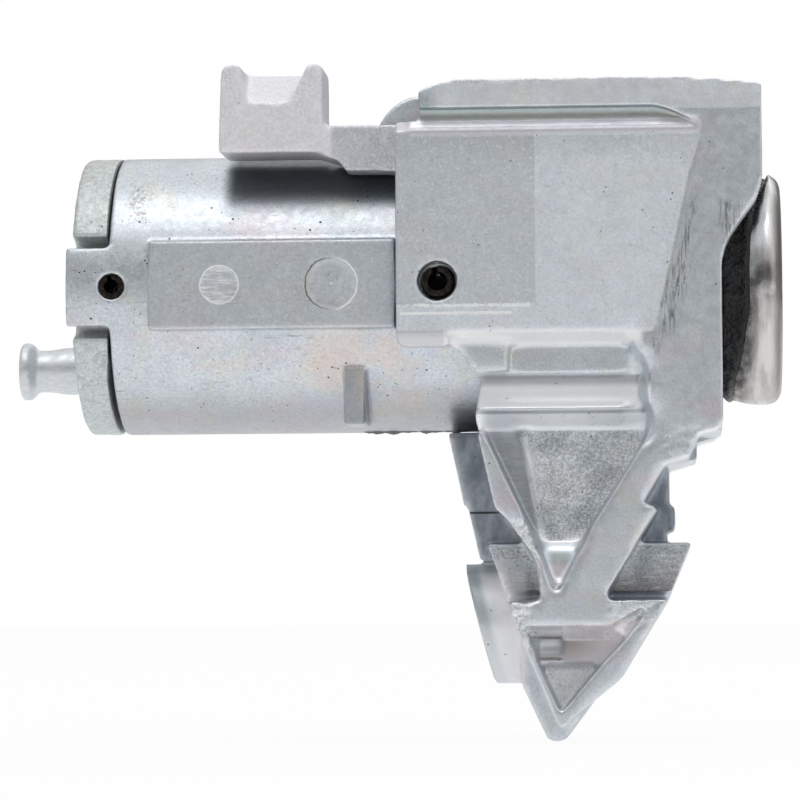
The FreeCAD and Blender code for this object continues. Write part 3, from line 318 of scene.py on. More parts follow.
def barrelMaterial():
    place = startMaterial("barrelZinc")
    x, y, z = split(place)
    boxes = zones(place, barrelPaint["boxes"])
    flat = plus(boxes["pad"], boxes["rib"])
    curved = less(1.0, flat)
    colour = castColour(place, 0.8)
    sparkle = noise(place, 6.5, 5, 0.8)
    colour = paint(colour, grey(0.56, 0.05), flat, ramp(sparkle, 0.4, 0.6, 0.85, 0.35))
    colour = paint(colour, grey(0.34, 0.08), boxes["rib"], 0.5)
    # painted shadow of the arm and block on the barrel
    colour = paint(colour, (0.065, 0.08, 0.09, 1), ramp(z, 5.6, 9.8),
                   ramp(x, -17.7, -16.0), ramp(x, 3, 1), ramp(y, 3, 1), 0.88)
    # painted shade dims the highlight on the barrel's upper flank
    colour = paint(colour, grey(0.4, 0.05),
                   inside(z, 3.6, 7.6, 1.0), ramp(x, -12, -17), curved, 0.22)
    # faint heat tints near the flank rib
    glow = noise(stretched(place, (0.8, 1, 0.5)), 0.22, 2)
    colour = paint(colour, (0.74, 0.62, 0.56, 1), boxes["warm"], ramp(glow, 0.45, 0.6), 0.55)
    colour = paint(colour, (0.60, 0.62, 0.80, 1), boxes["cool"], ramp(glow, 0.5, 0.38), 0.45)
    # pores and scratches
    pores = times(plus(pits(place, 1.1, 0.15, 0.53), pits(place, 2.3, 0.19, 0.58)),
                  ramp(flat, 0, 1, 1, 0.3))
    colour = paint(colour, zinc["dirt"], pores)
    marks = plus(scratches(place, 0.6, 2.2, 0.52), scratches(place, -0.9, 2.6, 0.55),
                 scratches(place, 1.5, 2.0, 0.6))
    colour = paint(colour, (0.2, 0.17, 0.15, 1), marks, 0.7)
    colour = shaded(colour, ramp(noise(place, 2.6, 6, 0.85), 0.4, 0.62, 0.91, 1.05))
    # painted shade on the barrel's underside, darker downwards
    colour = paint(colour, grey(0.3, 0.03), ramp(z, -8.5, -12.5, 0, 0.5), curved)
    # painted shade inside the pin's bore
    colour = paint(colour, (0.006, 0.006, 0.006, 1), boxes["pinBoreShade"])
    colour = paint(colour, (0.25, 0.2, 0.16, 1), boxes["smudge"],
                   ramp(noise(place, 2.4, 4, 0.8), 0.5, 0.6), 0.7)
    # ejector marks: the left one scratched, the right one with a bright centre
    leftDisc, leftRim = ejector(place, *barrelPaint["leftMark"])
    rightDisc, rightRim = ejector(place, *barrelPaint["rightMark"])
    centre = distance(place, barrelPaint["rightMark"][0])
    lines = noise(stretched(place, (0.6, 1, 7.0), (0, 0.25, 0)), 1.0, 2)
    colour = paint(colour, grey(0.95, 0.02), leftDisc, ramp(lines, 0.52, 0.6, 0.2, 0.9))
    colour = paint(colour, grey(0.8, 0.02), rightDisc, 0.2)
    # painted highlights on the rims, and painted shade on the left half of the right rim
    colour = paint(colour, zinc["blank"], leftRim, 0.9)
    colour = paint(colour, zinc["blank"], rightRim, ramp(x, -8.2, -4.5))
    colour = paint(colour, (0.13, 0.11, 0.09, 1), rightRim, ramp(x, -8.2, -4.5, 0.85, 0))
    colour = paint(colour, zinc["blank"], ramp(centre, 0.12, 0.2, 1, 0))
    height = plus(times(noise(place, 7, 5, 0.75), ramp(flat, 0, 1, 0.3, 0.9)),
                  times(noise(place, 2.2, 3), 0.15))
    height = less(height, times(plus(pores, rightRim), 0.8))
    rough = plus(ramp(noise(place, 1.3, 4), 0.3, 0.7, 0.34, 0.46), times(flat, 0.12))
    return finishMaterial(colour, zinc["metallic"], rough, height, 0.45)


def ringMaterial():
    place = startMaterial("capRingZinc")
    colour = castColour(place, 1.2)
    colour = tint(0.55, colour, (0.56, 0.605, 0.575, 1))
    colour = shaded(colour, ramp(noise(place, 2.2, 6, 0.9), 0.38, 0.62, 0.78, 1.14))
    pores = plus(pits(place, 1.9, 0.16, 0.52), pits(place, 3.2, 0.2, 0.6))
    colour = paint(colour, zinc["dirt"], pores)
    stain = ramp(noise(place, 0.9, 5, 0.7), 0.56, 0.7, 0, 0.45)
    colour = paint(colour, (0.36, 0.35, 0.28, 1), stain)
    seam = inside(split(place)[0], -28.45, -28.1, 0.05)
    colour = paint(colour, (0.08, 0.075, 0.07, 1), seam, 0.85)
    height = plus(times(noise(place, 7, 5, 0.75), 0.7),
                  times(noise(place, 1.2, 3), 0.6))
    rough = ramp(noise(place, 1.5, 4), 0.3, 0.7, 0.42, 0.56)
    return finishMaterial(colour, 0.75, rough, less(height, pores), 0.5)


# painted boxes on the bracket, both sides alike: the second number counts from the middle outwards
bracketPaint = {
    "ledgeFlat": ((4, 13.4, -9.3), (24.4, 14.9, -6.5), 0.15),
    "levelLine": ((0.3, 16, -3), (12.9, 16.4, -1.5), 0.2),
    "brightLine": ((0.45, 16, -3.6), (11.1, 16.4, -2.6), 0.1),
    "uprightLine": ((13, 14, -1.6), (14, 16.6, 19), 0.3),
    "stripShadow": ((1.6, 15.5, 15.8), (3.6, 17, 18.2), 0.9),
    "groove": ((-1, 14.2, 15.45), (31, 16.2, 16.5), 0.12),
    "lip": ((2.4, 15.0, 16.2), (31, 16.4, 17.0), 0.12),
    "grooveFoot": ((-1, 14.0, 14.05), (31, 16.5, 15.4), 0.12),
    "edgeScuff": ((31.2, 16.2, 3.4), (32.9, 17, 7.2), 0.6),
    "bar": ((7, 12.6, -12.15), (24.4, 16.4, -9.1), 0.12),
    "ledgeBevel": ((5.2, 13.8, -6.2), (23.6, 16.45, -4.9), 0.35),
    "foot": ((7, 12.0, -14.3), (24.4, 16.4, -12.8), 0.15),
    "ledgeStart": ((-1, 13.8, -6.3), (4.6, 16.45, -4.8), 0.15),
    "crease": ((7, 13.0, -12.75), (24.4, 16.4, -12.4), 0.08),
    "block": ((-18.5, -1, 11.8), (-6.4, 13.6, 23), 0.3),
    "arm": ((-6.4, -1, 10.5), (-0.4, 13.6, 17), 0.3),
    "ridge": ((11, 11.8, -25.2), (14.6, 13.2, -15), 0.2),
    "neck": ((10, 11.8, -31), (21, 16.2, -25.4), 0.15),
    "headSlope": ((15.75, 12, -34.6), (24.4, 16.4, -32.6), 0.06),
    "headFloor": ((15.75, 12, -36.75), (24.4, 15.6, -34.6), 0.06),
    "column": ((12, 12, -36.9), (15.7, 16.2, -32.8), 0.08),
    "boss": ((-1, -1, -43), (12, 11, -27.0), 0.5),
}
# these stay off the faces that look along the barrel
notEndFaces = ("bar", "ledgeBevel", "foot", "crease", "neck", "headSlope", "headFloor", "column")


# the bracket's surfaces, from the near face inwards; the far side has the same ones
def bracketMaterial():
    place = startMaterial("bracketZinc")
    x, y, z = split(place)
    depth = unsigned(y)
    near = ramp(y, 1, -1)
    facing = ramp(mark("facing"), 0.35, 0.6)
    endways, slope, broken = mark("endways"), mark("slope"), mark("broken")
    sideways = ramp(endways, 0.6, 0.85, 1, 0)
    boxes = zones(put("CombineXYZ", {0: x, 1: depth, 2: z}), bracketPaint)
    for name in notEndFaces:
        boxes[name] = times(boxes[name], sideways)
    blast = noise(place, 3.2, 6, 0.85)
    sparkle = noise(place, 6.5, 5, 0.8)
    streaks = noise(stretched(place, (0.5, 1.0, 4.5)), 1.2, 4, 0.7)
    colour = castColour(place, 1.0, 0.35)

    # faces that turn up or down, the die walls and bevels, get a painted highlight, and they are
    # smoother than the flat faces
    smoothLitSlopes = times(ramp(slope, 0.32, 0.72), ramp(depth, 11.0, 12.5), sideways,
                  less(1.0, times(boxes["ledgeFlat"], 0.8)))
    slopeHighlightTone = tint(ramp(streaks, 0.35, 0.65), grey(0.86, 0.03), (0.92, 0.89, 0.92, 1))
    colour = paint(colour, slopeHighlightTone, smoothLitSlopes, 0.8)

    # smooth frame round the plate
    frameFace = times(ramp(depth, 16.34, 16.42), ramp(z, 15.9, 15.7), facing)
    colour = paint(colour, grey(0.6, 0.06), frameFace, 0.15)

    # sand-blasted plate: left part darker up to a fine upright line, shade under the groove
    plate = times(ramp(depth, 16.02, 16.12), ramp(depth, 16.32, 16.4, 1, 0),
                  ramp(z, -5.2, -5.0), facing)
    colour = paint(colour, grey(0.93, 0.06), plate, 0.4)
    leftPart = times(plate, near, ramp(x, 13.4, 13.6, 1.0, 0.0), ramp(z, -2.4, -2.1))
    colour = paint(colour, grey(0.36, 0.05), leftPart, 0.3)
    colour = paint(colour, grey(0.36, 0.03), plate, ramp(z, 10.5, 14.6, 0, 0.3))
    colour = paint(colour, zinc["bright"], plate, ramp(blast, 0.52, 0.66, 0.0, 0.75))
    colour = paint(colour, grey(0.34, 0.03), plate, ramp(blast, 0.47, 0.33, 0.0, 0.42))

    # witness lines on the plate
    wander = times(less(noise(place, 1.4, 3, 0.7), 0.5), 0.5)
    level = times(inside(total(z, wander), -2.5, -2.28, 0.06), boxes["levelLine"],
                  ramp(noise(place, 2.2, 3, 0.7), 0.38, 0.55))
    bright = times(inside(z, -3.26, -3.06, 0.04), boxes["brightLine"], near)
    upright = times(inside(x, 13.42, 13.6, 0.05), boxes["uprightLine"])
    colour = paint(colour, grey(0.97, 0.0), plus(times(level, near, 0.8), bright))
    colour = paint(colour, grey(0.85, 0.0), upright, near, 0.25)

    # strip above the groove
    strip = times(ramp(depth, 16.2, 16.35), ramp(z, 16.2, 16.4), facing)
    colour = paint(colour, (0.46, 0.41, 0.41, 1), strip,
                   ramp(noise(place, 0.7, 5, 0.8), 0.4, 0.62, 0.0, 0.34))
    colour = paint(colour, grey(0.95, 0.03), strip, 0.33)
    colour = paint(colour, (0.30, 0.37, 0.41, 1), boxes["stripShadow"],
                   ramp(blast, 0.35, 0.6, 1.0, 0.5))

    # groove floor, its lip and its foot, painted darker: painted shade under the strip
    colour = paint(colour, (0.40, 0.42, 0.39, 1), boxes["groove"], 0.75)
    colour = paint(colour, (0.42, 0.50, 0.53, 1), boxes["lip"], 0.7)
    colour = paint(colour, (0.62, 0.60, 0.65, 1), boxes["grooveFoot"], 0.8)

    # scuffs on the frame's right strip, fine smears along its edge
    smear = noise(stretched(place, (4.5, 1.0, 0.45), (0, -0.16, 0)), 0.9, 6, 0.8)
    along = less(x, times(z, 0.22))
    patch = times(inside(along, 25.9, 28.0, 0.5), inside(z, -5.2, 1.2, 1.3))
    streak = times(inside(along, 26.7, 27.5, 0.35), inside(z, 0.0, 7.8, 0.9))
    low = times(inside(along, 25.4, 26.9, 0.4), inside(z, -9.0, -5.0, 1.3), 0.5)
    scuff = times(plus(patch, streak, boxes["edgeScuff"], low), frameFace, near,
                  ramp(smear, 0.46, 0.6))
    colour = paint(colour, (0.10, 0.105, 0.11, 1), scuff, 0.8)

    # rough sunk floors: panel, wings and the head's tip; painted shade darkens the panel and the wings
    # in their recesses
    panel = times(inside(depth, 12.0, 12.6, 0.1), inside(z, -25.4, -14.4, 0.1),
                  ramp(x, 7, 7.5), facing)
    wing = times(ramp(depth, 10.7, 10.85), ramp(depth, 11.2, 11.4, 1, 0),
                 inside(z, -32.6, -25.5, 0.1), facing)
    tip = times(inside(depth, 12.7, 13.2, 0.1), ramp(z, -36.5, -36.8), facing)
    smoothThird = times(panel, ramp(less(x, times(z, -0.19)), 8.4, 9.2, 1, 0))
    sunk = plus(less(panel, smoothThird), wing)
    clumps = ramp(noise(place, 0.35, 2), 0.35, 0.65, -0.03, 0.03)
    crumbs = total(noise(place, 4.4, 6, 0.92), clumps)
    colour = paint(colour, grey(0.53, 0.07), sunk, 0.6)
    colour = paint(colour, grey(0.95, 0.01), tip, 0.85)
    colour = paint(colour, grey(1.0, 0.0), plus(sunk, tip), ramp(crumbs, 0.51, 0.6, 0.0, 0.85))
    colour = paint(colour, grey(0.13, 0.05), plus(sunk, times(tip, 0.7)),
                   ramp(crumbs, 0.49, 0.39, 0.0, 0.72))
    colour = paint(colour, grey(0.28, 0.09), smoothThird, ramp(streaks, 0.35, 0.65, 0.75, 0.5))
    brown = times(wing, ramp(z, -27.0, -30.5))
    drag = noise(stretched(place, (0.35, 1.0, 4.0), (0, 0.12, 0)), 1.6, 3, 0.7)
    colour = paint(colour, grey(0.2, 0.08), wing, 0.3)
    colour = paint(colour, (0.15, 0.115, 0.105, 1), brown, 0.62)
    colour = paint(colour, grey(0.8, 0.05), wing, ramp(drag, 0.56, 0.66, 0, 0.6))

    # bar under the ledge: painted shade above, painted highlight below; painted highlights on the bevel
    # and the foot, painted shade in the crease
    rounded = ramp(z, -9.6, -10.6)
    colour = paint(colour, tint(rounded, grey(0.31, 0.06), grey(1.0, 0.02)), boxes["bar"], 0.85)
    colour = paint(colour, grey(1.0, 0.01), boxes["ledgeBevel"], ramp(streaks, 0.3, 0.6, 0.75, 1.0))
    colour = paint(colour, grey(1.0, 0.03), boxes["foot"], 0.8)
    colour = paint(colour, grey(0.58, 0.03), boxes["ledgeStart"], 0.75)
    colour = paint(colour, grey(0.3, 0.08), boxes["crease"], 0.6)

    # block on the arm, rougher and paler than the rest
    pale = tint(ramp(blast, 0.36, 0.64), (0.74, 0.71, 0.75, 1), (1.0, 0.97, 1.0, 1))
    colour = paint(colour, pale, boxes["block"], 0.7)
    colour = paint(colour, (0.55, 0.53, 0.56, 1), boxes["arm"], ramp(blast, 0.56, 0.42, 0, 0.8))

    # painted highlight along the ridge on the panel
    ridge = times(inside(total(x, times(z, 0.193)), 8.8, 9.45, 0.15), boxes["ridge"])
    colour = paint(colour, zinc["bright"], ridge, ramp(crumbs, 0.4, 0.55, 0.4, 0.95))

    # neck under the panel: painted highlights in bright, bluish and rosy bands, painted shade in the
    # slot below them
    neck = boxes["neck"]
    colour = paint(colour, (0.80, 0.87, 0.90, 1), neck, inside(z, -26.9, -25.2, 0.4), 0.9)
    colour = paint(colour, (0.93, 0.88, 0.92, 1), neck, inside(z, -28.8, -27.2, 0.4), 0.8)
    colour = paint(colour, grey(0.2, 0.0), neck, inside(z, -31, -29, 0.15),
                   ramp(crumbs, 0.4, 0.6))

    # head pocket: rosy slope with a painted highlight, brownish floor, banded left column with painted
    # shade lines at its steps
    glint = ramp(noise(stretched(place, (0.4, 0.1, 0.6)), 0.8, 2), 0.35, 0.6)
    rosy = tint(glint, (0.80, 0.75, 0.77, 1), (1.0, 0.96, 0.99, 1))
    colour = paint(colour, rosy, boxes["headSlope"], 0.85)
    drift = plus(ramp(less(x, times(z, -0.6)), -5.0, 0.5, 0, 0.7),
                 ramp(z, -34.7, -36.6, 0, 0.4))
    brownish = tint(drift, (0.33, 0.285, 0.27, 1), (0.92, 0.89, 0.93, 1))
    colour = paint(colour, brownish, boxes["headFloor"], 0.9)
    bands = ramp(noise(stretched(place, (0.05, 0.05, 1.6)), 1.0, 2), 0.35, 0.65)
    banded = tint(bands, grey(0.66, 0.04), (0.97, 0.93, 0.95, 1))
    colour = paint(colour, banded, boxes["column"], 0.9)
    rung = plus(inside(z, -34.45, -34.2, 0.07), inside(z, -36.5, -36.2, 0.09))
    colour = paint(colour, (0.22, 0.18, 0.16, 1), boxes["column"], rung, 0.8)

    # webs behind, painted dark bluish as painted shade in the recess, with drawn streaks and a painted
    # shadow line
    back = times(ramp(depth, 10.3, 9.9), ramp(z, -13.6, -14.2), ramp(z, -27.0, -26.8),
                 facing)
    drawnDown = noise(stretched(place, (1.2, 1.0, 0.5)), 0.6, 4, 0.6)
    leftEdge = ramp(less(x, times(z, -0.21)), 1.3, 2.6, 0.35, 1.0)
    colour = paint(colour, (0.15, 0.18, 0.22, 1), back, ramp(drawnDown, 0.35, 0.65, 0.9, 0.6), leftEdge)
    colour = paint(colour, grey(0.05, 0.05), back, inside(z, -22.22, -22.0, 0.06), ramp(x, 10, 9))

    # round boss behind the foot: pale, with painted shade on its rim and top and a painted highlight on
    # its side
    boss = boxes["boss"]
    across = total(x, times(z, 0.25))
    colour = paint(colour, grey(1.0, 0.02), boss, 0.65)
    bossRim = times(boss, inside(across, -3, 0.2, 0.45), ramp(z, -37, -30, 0.25, 1.0))
    colour = paint(colour, (0.24, 0.30, 0.33, 1), bossRim, 0.6)
    bossShine = times(boss, inside(across, 1.1, 3.2, 0.7),
                      ramp(noise(stretched(place, (1.5, 1, 0.6)), 0.9, 4, 0.7), 0.3, 0.55))
    colour = paint(colour, (0.98, 0.95, 0.97, 1), bossShine, 0.8)
    colour = paint(colour, (0.25, 0.30, 0.33, 1), boss, inside(z, -28.0, -26.6, 0.35), 0.5)

    # slanted faces that look forward are painted darker: painted shade
    leaning = times(ramp(endways, 0.3, 0.6), ramp(slope, 0.3, 0.6), ramp(z, -14, -24))
    colour = paint(colour, grey(0.4, 0.04), leaning, 0.4)

    # torn metal, gates and flash
    colour = paint(colour, zinc["blank"], broken, ramp(crumbs, 0.5, 0.6))
    colour = paint(colour, grey(0.12, 0.03), broken, ramp(crumbs, 0.46, 0.38, 0, 0.8))
    colour = paint(colour, zinc["dirt"], pits(place, 1.3, 0.15, 0.57), 0.8)

    # satin areas reflect less sharply
    satin = plus(times(boxes["bar"], rounded), boxes["ledgeBevel"], times(boxes["foot"], 0.5),
                 times(boxes["block"], 0.5), times(boxes["arm"], 0.3))
    satin = plus(satin, times(boxes["headSlope"], 0.6), boxes["headFloor"])
    satin = plus(satin, times(boxes["column"], 0.7), times(tip, 0.6))
    satin = plus(satin, times(boss, 0.55), times(bossShine, 0.4))
    metallic = less(zinc["metallic"], times(satin, 0.72))

    rugged = plus(times(plate, 0.5), times(strip, 0.3), times(boxes["block"], 0.7),
                  times(boxes["arm"], 0.5))
    height = plus(times(blast, rugged), times(sparkle, 0.2),
                  times(noise(place, 1.4, 3), 0.2))
    height = plus(height, times(crumbs, plus(sunk, broken, tip)), bright,
                  times(level, 0.6))
    rough = ramp(noise(place, 1.1, 4), 0.3, 0.7, 0.32, 0.44)
    grainy = plus(plate, sunk, strip, boxes["block"], boxes["arm"])
    rough = less(plus(rough, times(grainy, 0.14)), times(smoothLitSlopes, 0.06))
    return finishMaterial(colour, metallic, rough, height, 0.5)


def steelMaterial(name, tone, roughness, brushed=(1, 1, 1), metallic=1.0):
    place = startMaterial(name)
    streaks = noise(stretched(place, brushed), 2.5, 4)
    colour = tint(ramp(streaks, 0.3, 0.7), [c * 0.86 for c in tone[:3]] + [1], tone)
    colour = paint(colour, zinc["dirt"], pits(place, 1.7, 0.14, 0.55))
    rough = ramp(noise(place, 1.6, 4), 0.3, 0.7, roughness * 0.8, roughness * 1.25)
    return finishMaterial(colour, metallic, rough, streaks, 0.12, 0.05)


# painted boxes on the cap
capPaint = {
    "smudge": ((33, -12, -1.5), (37, -8, 1.6), 1.4),
    "glare": ((34.5, -12, 3.6), (36.0, 0, 8.4), 1.0),
}


def stainlessMaterial():
    place = startMaterial("stainlessCap")
    x, y, z = split(place)
    boxes = zones(place, capPaint)
    hoop = noise(stretched(place, (1.3, 0.2, 0.2)), 0.9, 3, 0.6)
    colour = tint(ramp(hoop, 0.35, 0.62), (0.47, 0.45, 0.437, 1), (0.66, 0.645, 0.635, 1))
    colour = paint(colour, (0.09, 0.083, 0.08, 1), ramp(noise(place, 0.45, 4), 0.4, 0.58),
                   boxes["smudge"], 0.8)
    # soot and painted shade in the crimp, painted glare on the near shoulder, painted shade on the rim
    # of the front
    crimp = mark("crimp")
    crimpNoise = noise(stretched(place, (1, 0.5, 0.5)), 1.3, 5, 0.75)
    crimpSootAndShade = times(ramp(crimp, 0.2, 0.95), ramp(crimpNoise, 0.3, 0.6, 0.45, 1.0))
    colour = paint(colour, (0.05, 0.045, 0.042, 1), crimpSootAndShade, ramp(z, 1, -4, 0.35, 1.0))
    colour = paint(colour, grey(1.0, 0.0), boxes["glare"], 0.8)
    around = put("CombineXYZ", {0: 0, 1: y, 2: z})
    reach = put("VectorMath", {0: around}, out=1, operation="LENGTH")
    rim = times(ramp(x, 36.0, 36.9), ramp(reach, 10.0, 10.9))
    colour = paint(colour, (0.2, 0.19, 0.185, 1), rim, 0.9)
    rough = ramp(noise(place, 1.3, 4), 0.3, 0.7, 0.22, 0.32)
    height = plus(times(noise(place, 5, 4, 0.7), 0.15),
                  times(noise(place, 0.8, 3), 0.6), times(crimpNoise, ramp(crimp, 0.3, 0.9), 0.9))
    return finishMaterial(colour, 1.0, rough, height, 0.3)


def pinMaterial():
    place = startMaterial("oiledPin")
    patina = noise(place, 3.0, 5)
    colour = tint(ramp(patina, 0.35, 0.7), (0.008, 0.0075, 0.0075, 1), (0.045, 0.034, 0.028, 1))
    return finishMaterial(colour, 0.85, ramp(patina, 0.3, 0.7, 0.38, 0.55), patina, 0.3)


def rubberMaterial():
    place = startMaterial("wetRubber")
    dust = noise(place, 2.4, 5)
    colour = tint(ramp(dust, 0.58, 0.78), (0.007, 0.007, 0.008, 1), (0.06, 0.05, 0.045, 1))
    waves = noise(stretched(place, (0.7, 1, 1)), 1.1, 4, 0.7)
    height = plus(times(dust, 0.6), waves)
    return finishMaterial(colour, 0.0, ramp(dust, 0.3, 0.7, 0.08, 0.3), height, 1.0, 0.7)


materials = {
    "barrel": barrelMaterial(),
    "ring": ringMaterial(),
    "bracket": bracketMaterial(),
    "crank": steelMaterial("crankSteel", grey(0.78, 0.04), 0.42, (0.6, 1.2, 1.2), 0.7),
    "flash": steelMaterial("flashZinc", grey(0.2, 0.02), 0.5),
    "plug": steelMaterial("plugZinc", grey(0.6, 0.02), 0.32),
    "sleeve": steelMaterial("sleeveSteel", grey(0.52, 0.01), 0.34, (0.4, 3, 3)),
    "shutter": steelMaterial("shutterSteel", grey(0.55, 0.0), 0.25, (1, 3, 0.5)),
    "spring": steelMaterial("springSteel", grey(0.42, 0.0), 0.3),
    "brass": steelMaterial("waferBrass", (0.62, 0.47, 0.2, 1), 0.3),
    "stainless": stainlessMaterial(),
    "pin": pinMaterial(),
    "rubber": rubberMaterial(),
}
# CAD nodes that stay get their own finish
finishOf = {
    "plug": "plug", "freewheel_sleeve": "sleeve", "plug_clip": "spring", "shutter": "shutter",
    "shutter_pin": "sleeve", "shutter_spring": "spring", "return_spring": "spring",
}
waferCount = 6
for number in range(1, waferCount + 1):
    finishOf[f"wafer_{number}"] = "brass"
    finishOf[f"wafer_spring_{number}"] = "spring"
for name, finish in finishOf.items():
    nodes[name].data.materials.clear()
    nodes[name].data.materials.append(materials[finish])
print("stage: materials made,", len(materials))


def link(name, mesh, material, body):
    piece = bpy.data.objects.new(name, mesh)
    bpy.context.scene.collection.objects.link(piece)
    mesh.materials.clear()
    mesh.materials.append(material)
    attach(piece, body)
    return piece


def smoothed(shape):
    for face in shape.faces:
        face.smooth = True


# a merged copy of a CAD node's mesh
def mergedCopy(node):
    mesh = nodes[node].data.copy()
    shape = bmesh.new()
    shape.from_mesh(mesh)
    bmesh.ops.remove_doubles(shape, verts=shape.verts, dist=0.002 * mm)
    bmesh.ops.dissolve_limit(shape, angle_limit=math.radians(0.6), verts=shape.verts, edges=shape.edges)
    smoothed(shape)
    shape.to_mesh(mesh)
    shape.free()
    return mesh


# small turned pieces keep their CAD shape with broken edges
edgeWidth = {"pin": 0.08 * mm, "crank": 0.12 * mm, "sharpest": math.radians(28)}


def softEdged(node, name, body, finish):
    piece = link(name, mergedCopy(node), materials[finish], body)
    bevel = piece.modifiers.new("softEdges", "BEVEL")
    bevel.width = edgeWidth[finish]
    bevel.segments = 2
    bevel.limit_method = "ANGLE"
    bevel.angle_limit = edgeWidth["sharpest"]
    bevel.use_clamp_overlap = False
    bevel.harden_normals = True
    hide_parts(node)
    return piece


# puts a piece's modifiers into its mesh
def baked(piece):
    graph = bpy.context.evaluated_depsgraph_get()
    made = bpy.data.meshes.new_from_object(piece.evaluated_get(graph))
    piece.modifiers.clear()
    old = piece.data
    piece.data = made
    bpy.data.meshes.remove(old)


def smoothStep(value, start, end):
    share = numpy.clip((value - start) / (end - start), 0, 1)
    return share * share * (3 - 2 * share)


# share of each point that lies in a box, in millimetres
def boxShare(points, low, high, soft=0.5):
    share = numpy.ones(len(points))
    for axis in range(3):
        share *= smoothStep(points[:, axis], low[axis] - soft, low[axis] + soft)
        share *= 1 - smoothStep(points[:, axis], high[axis] - soft, high[axis] + soft)
    return share


# lets each point sink towards its neighbours' middle, in its first three columns
def relax(points, edges, rounds, share=1.0):
    count = len(points)
    degree = numpy.bincount(edges.ravel(), minlength=count)
    for _ in range(rounds):
        for axis in range(3):
            row = points[:, axis]
            around = numpy.bincount(edges[:, 0], row[edges[:, 1]], count)
            around += numpy.bincount(edges[:, 1], row[edges[:, 0]], count)
            points[:, axis] = row + 0.5 * share * (around / degree - row)
    return points


def readPoints(mesh):
    points = numpy.empty(len(mesh.vertices) * 3)
    mesh.vertices.foreach_get("co", points)
    return points.reshape(-1, 3) / mm


def readNormals(mesh):
    normals = numpy.empty(len(mesh.vertices) * 3, dtype=numpy.float32)
    mesh.vertex_normals.foreach_get("vector", normals)
    return normals.reshape(-1, 3).astype(float)


def readEdges(mesh):
    edges = numpy.empty(len(mesh.edges) * 2, dtype=numpy.int32)
    mesh.edges.foreach_get("vertices", edges)
    return edges.reshape(-1, 2)


def writePoints(mesh, points):
    mesh.vertices.foreach_set("co", (points * mm).ravel())
    mesh.update()


# voxel skin over a casting, softened by regions, roughened, thinned, and marked for its material:
# hollow is above 0 in corners and below 0 on edges, broken is 1 on torn metal, and endways, facing
# and slope tell how far a face looks along x, y and z
def skinCopy(node, name, finish, sculpt):
    look = castLook[finish]
    piece = link(name, mergedCopy(node), materials[finish], "housing")
    skin = piece.modifiers.new("skin", "REMESH")
    skin.mode = "VOXEL"
    skin.voxel_size = look["grain"]
    baked(piece)
    mesh = piece.data
    edges = readEdges(mesh)
    points = relax(readPoints(mesh), edges, look["soften"])
    for rounds, low, high in look["softer"]:
        points = relax(points, edges, rounds, boxShare(points, low, high))
    writePoints(mesh, points)
    broken = sculpt(points, readNormals(mesh))
    writePoints(mesh, points)
    normals = readNormals(mesh)
    calm = relax(points.copy(), edges, look["reach"])
    hollow = numpy.clip(((calm - points) * normals).sum(axis=1) / look["hollow"], -1, 1)
    calm = relax(numpy.column_stack((hollow, broken, normals)), edges, 3)
    marks = {"hollow": calm[:, 0], "broken": calm[:, 1], "endways": numpy.abs(calm[:, 2]),
             "facing": numpy.abs(calm[:, 3]), "slope": numpy.abs(calm[:, 4])}
    nearby = KDTree(len(points))
    for index, point in enumerate(points):
        nearby.insert(point, index)
    nearby.balance()
    thin = piece.modifiers.new("thin", "DECIMATE")
    thin.ratio = look["keep"]
    baked(piece)
    mesh = piece.data
    nearest = [nearby.find(point)[1] for point in readPoints(mesh)]
    for key, values in marks.items():
        layer = mesh.attributes.new(key, "FLOAT", "POINT")
        layer.data.foreach_set("value", values[nearest].astype(numpy.float32))
    for polygon in mesh.polygons:
        polygon.use_smooth = True
    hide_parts(node)
    print("stage:", name, len(mesh.polygons), "faces")


# grain is the voxel size, keep the share of faces kept, softer has rounds, low corner and high corner
castLook = {
    "bracket": {
        "grain": 0.22 * mm,
        "soften": 3,
        "reach": 10,
        "hollow": 0.2,
        "keep": 0.26,
        "halfDepth": 16.5,
        "grooveFill": 0.42,
        "recess": ((6.4, -15.0, -8.9), (22.4, -13.5, -6.3)),
        "recessFloor": -14.2,
        "recessFill": 0.88,
        "softer": [
            (10, (-18.2, -13.8, 12.0), (-6.6, -4, 22.5)),  # lug
            (8, (5.0, -16.9, -15.6), (26.5, -11, -4.0)),  # ledge and bar
            (110, (21.9, -16.9, -15.6), (27.5, -11.0, -3.2)),  # their right end
            (30, (9.6, -15.6, -8.6), (12.2, -13.0, -5.4)),  # dimple in the ledge
            (8, (9.5, -16.9, -41), (24.5, -11.5, -31.5)),  # arrow head
            (26, (9.5, -16.9, -31.5), (20, -11.0, -24.0)),  # neck
            (14, (12.5, -16.9, -26.0), (25.5, -11.3, -14.0)),  # walls of the panel
        ],
    },
    "ring": {"grain": 0.2 * mm, "soften": 7, "reach": 10, "hollow": 0.2, "keep": 0.4, "softer": []},
    "barrel": {"grain": 0.25 * mm, "soften": 2, "reach": 8, "hollow": 0.2, "keep": 0.4, "softer": []},
}
# torn or gated metal: low corner, high corner, depth and fineness
tornPlaces = [
    ((-2.7, -13.4, 10.8), (-0.1, -12.0, 15.6), 0.25, 1.5),
    ((10.6, -16.9, -30.6), (13.6, -15.2, -23.2), 0.75, 1.5),
    ((5.6, -16.9, -12.0), (7.5, -14.4, -8.4), 0.5, 1.2),
    ((10.0, -16.9, -35.8), (12.9, -15.2, -30.6), 0.45, 1.2),
    ((20.2, -16.9, -33.2), (25.0, -14.4, -30.6), 0.25, 1.8),
    ((2.4, -16.9, 18.9), (35.4, -15.4, 20.4), 0.2, 1.1),
    ((-17.4, -13.6, 16.6), (-7.0, -12.0, 22.4), 0.12, 1.3),
    ((25.6, -16.9, -17.8), (29.2, -15.4, -14.2), 0.2, 1.6),
]


def roughNoise(points, fine, octaves):
    return numpy.array([turbulence(point, octaves, False) for point in points * fine])


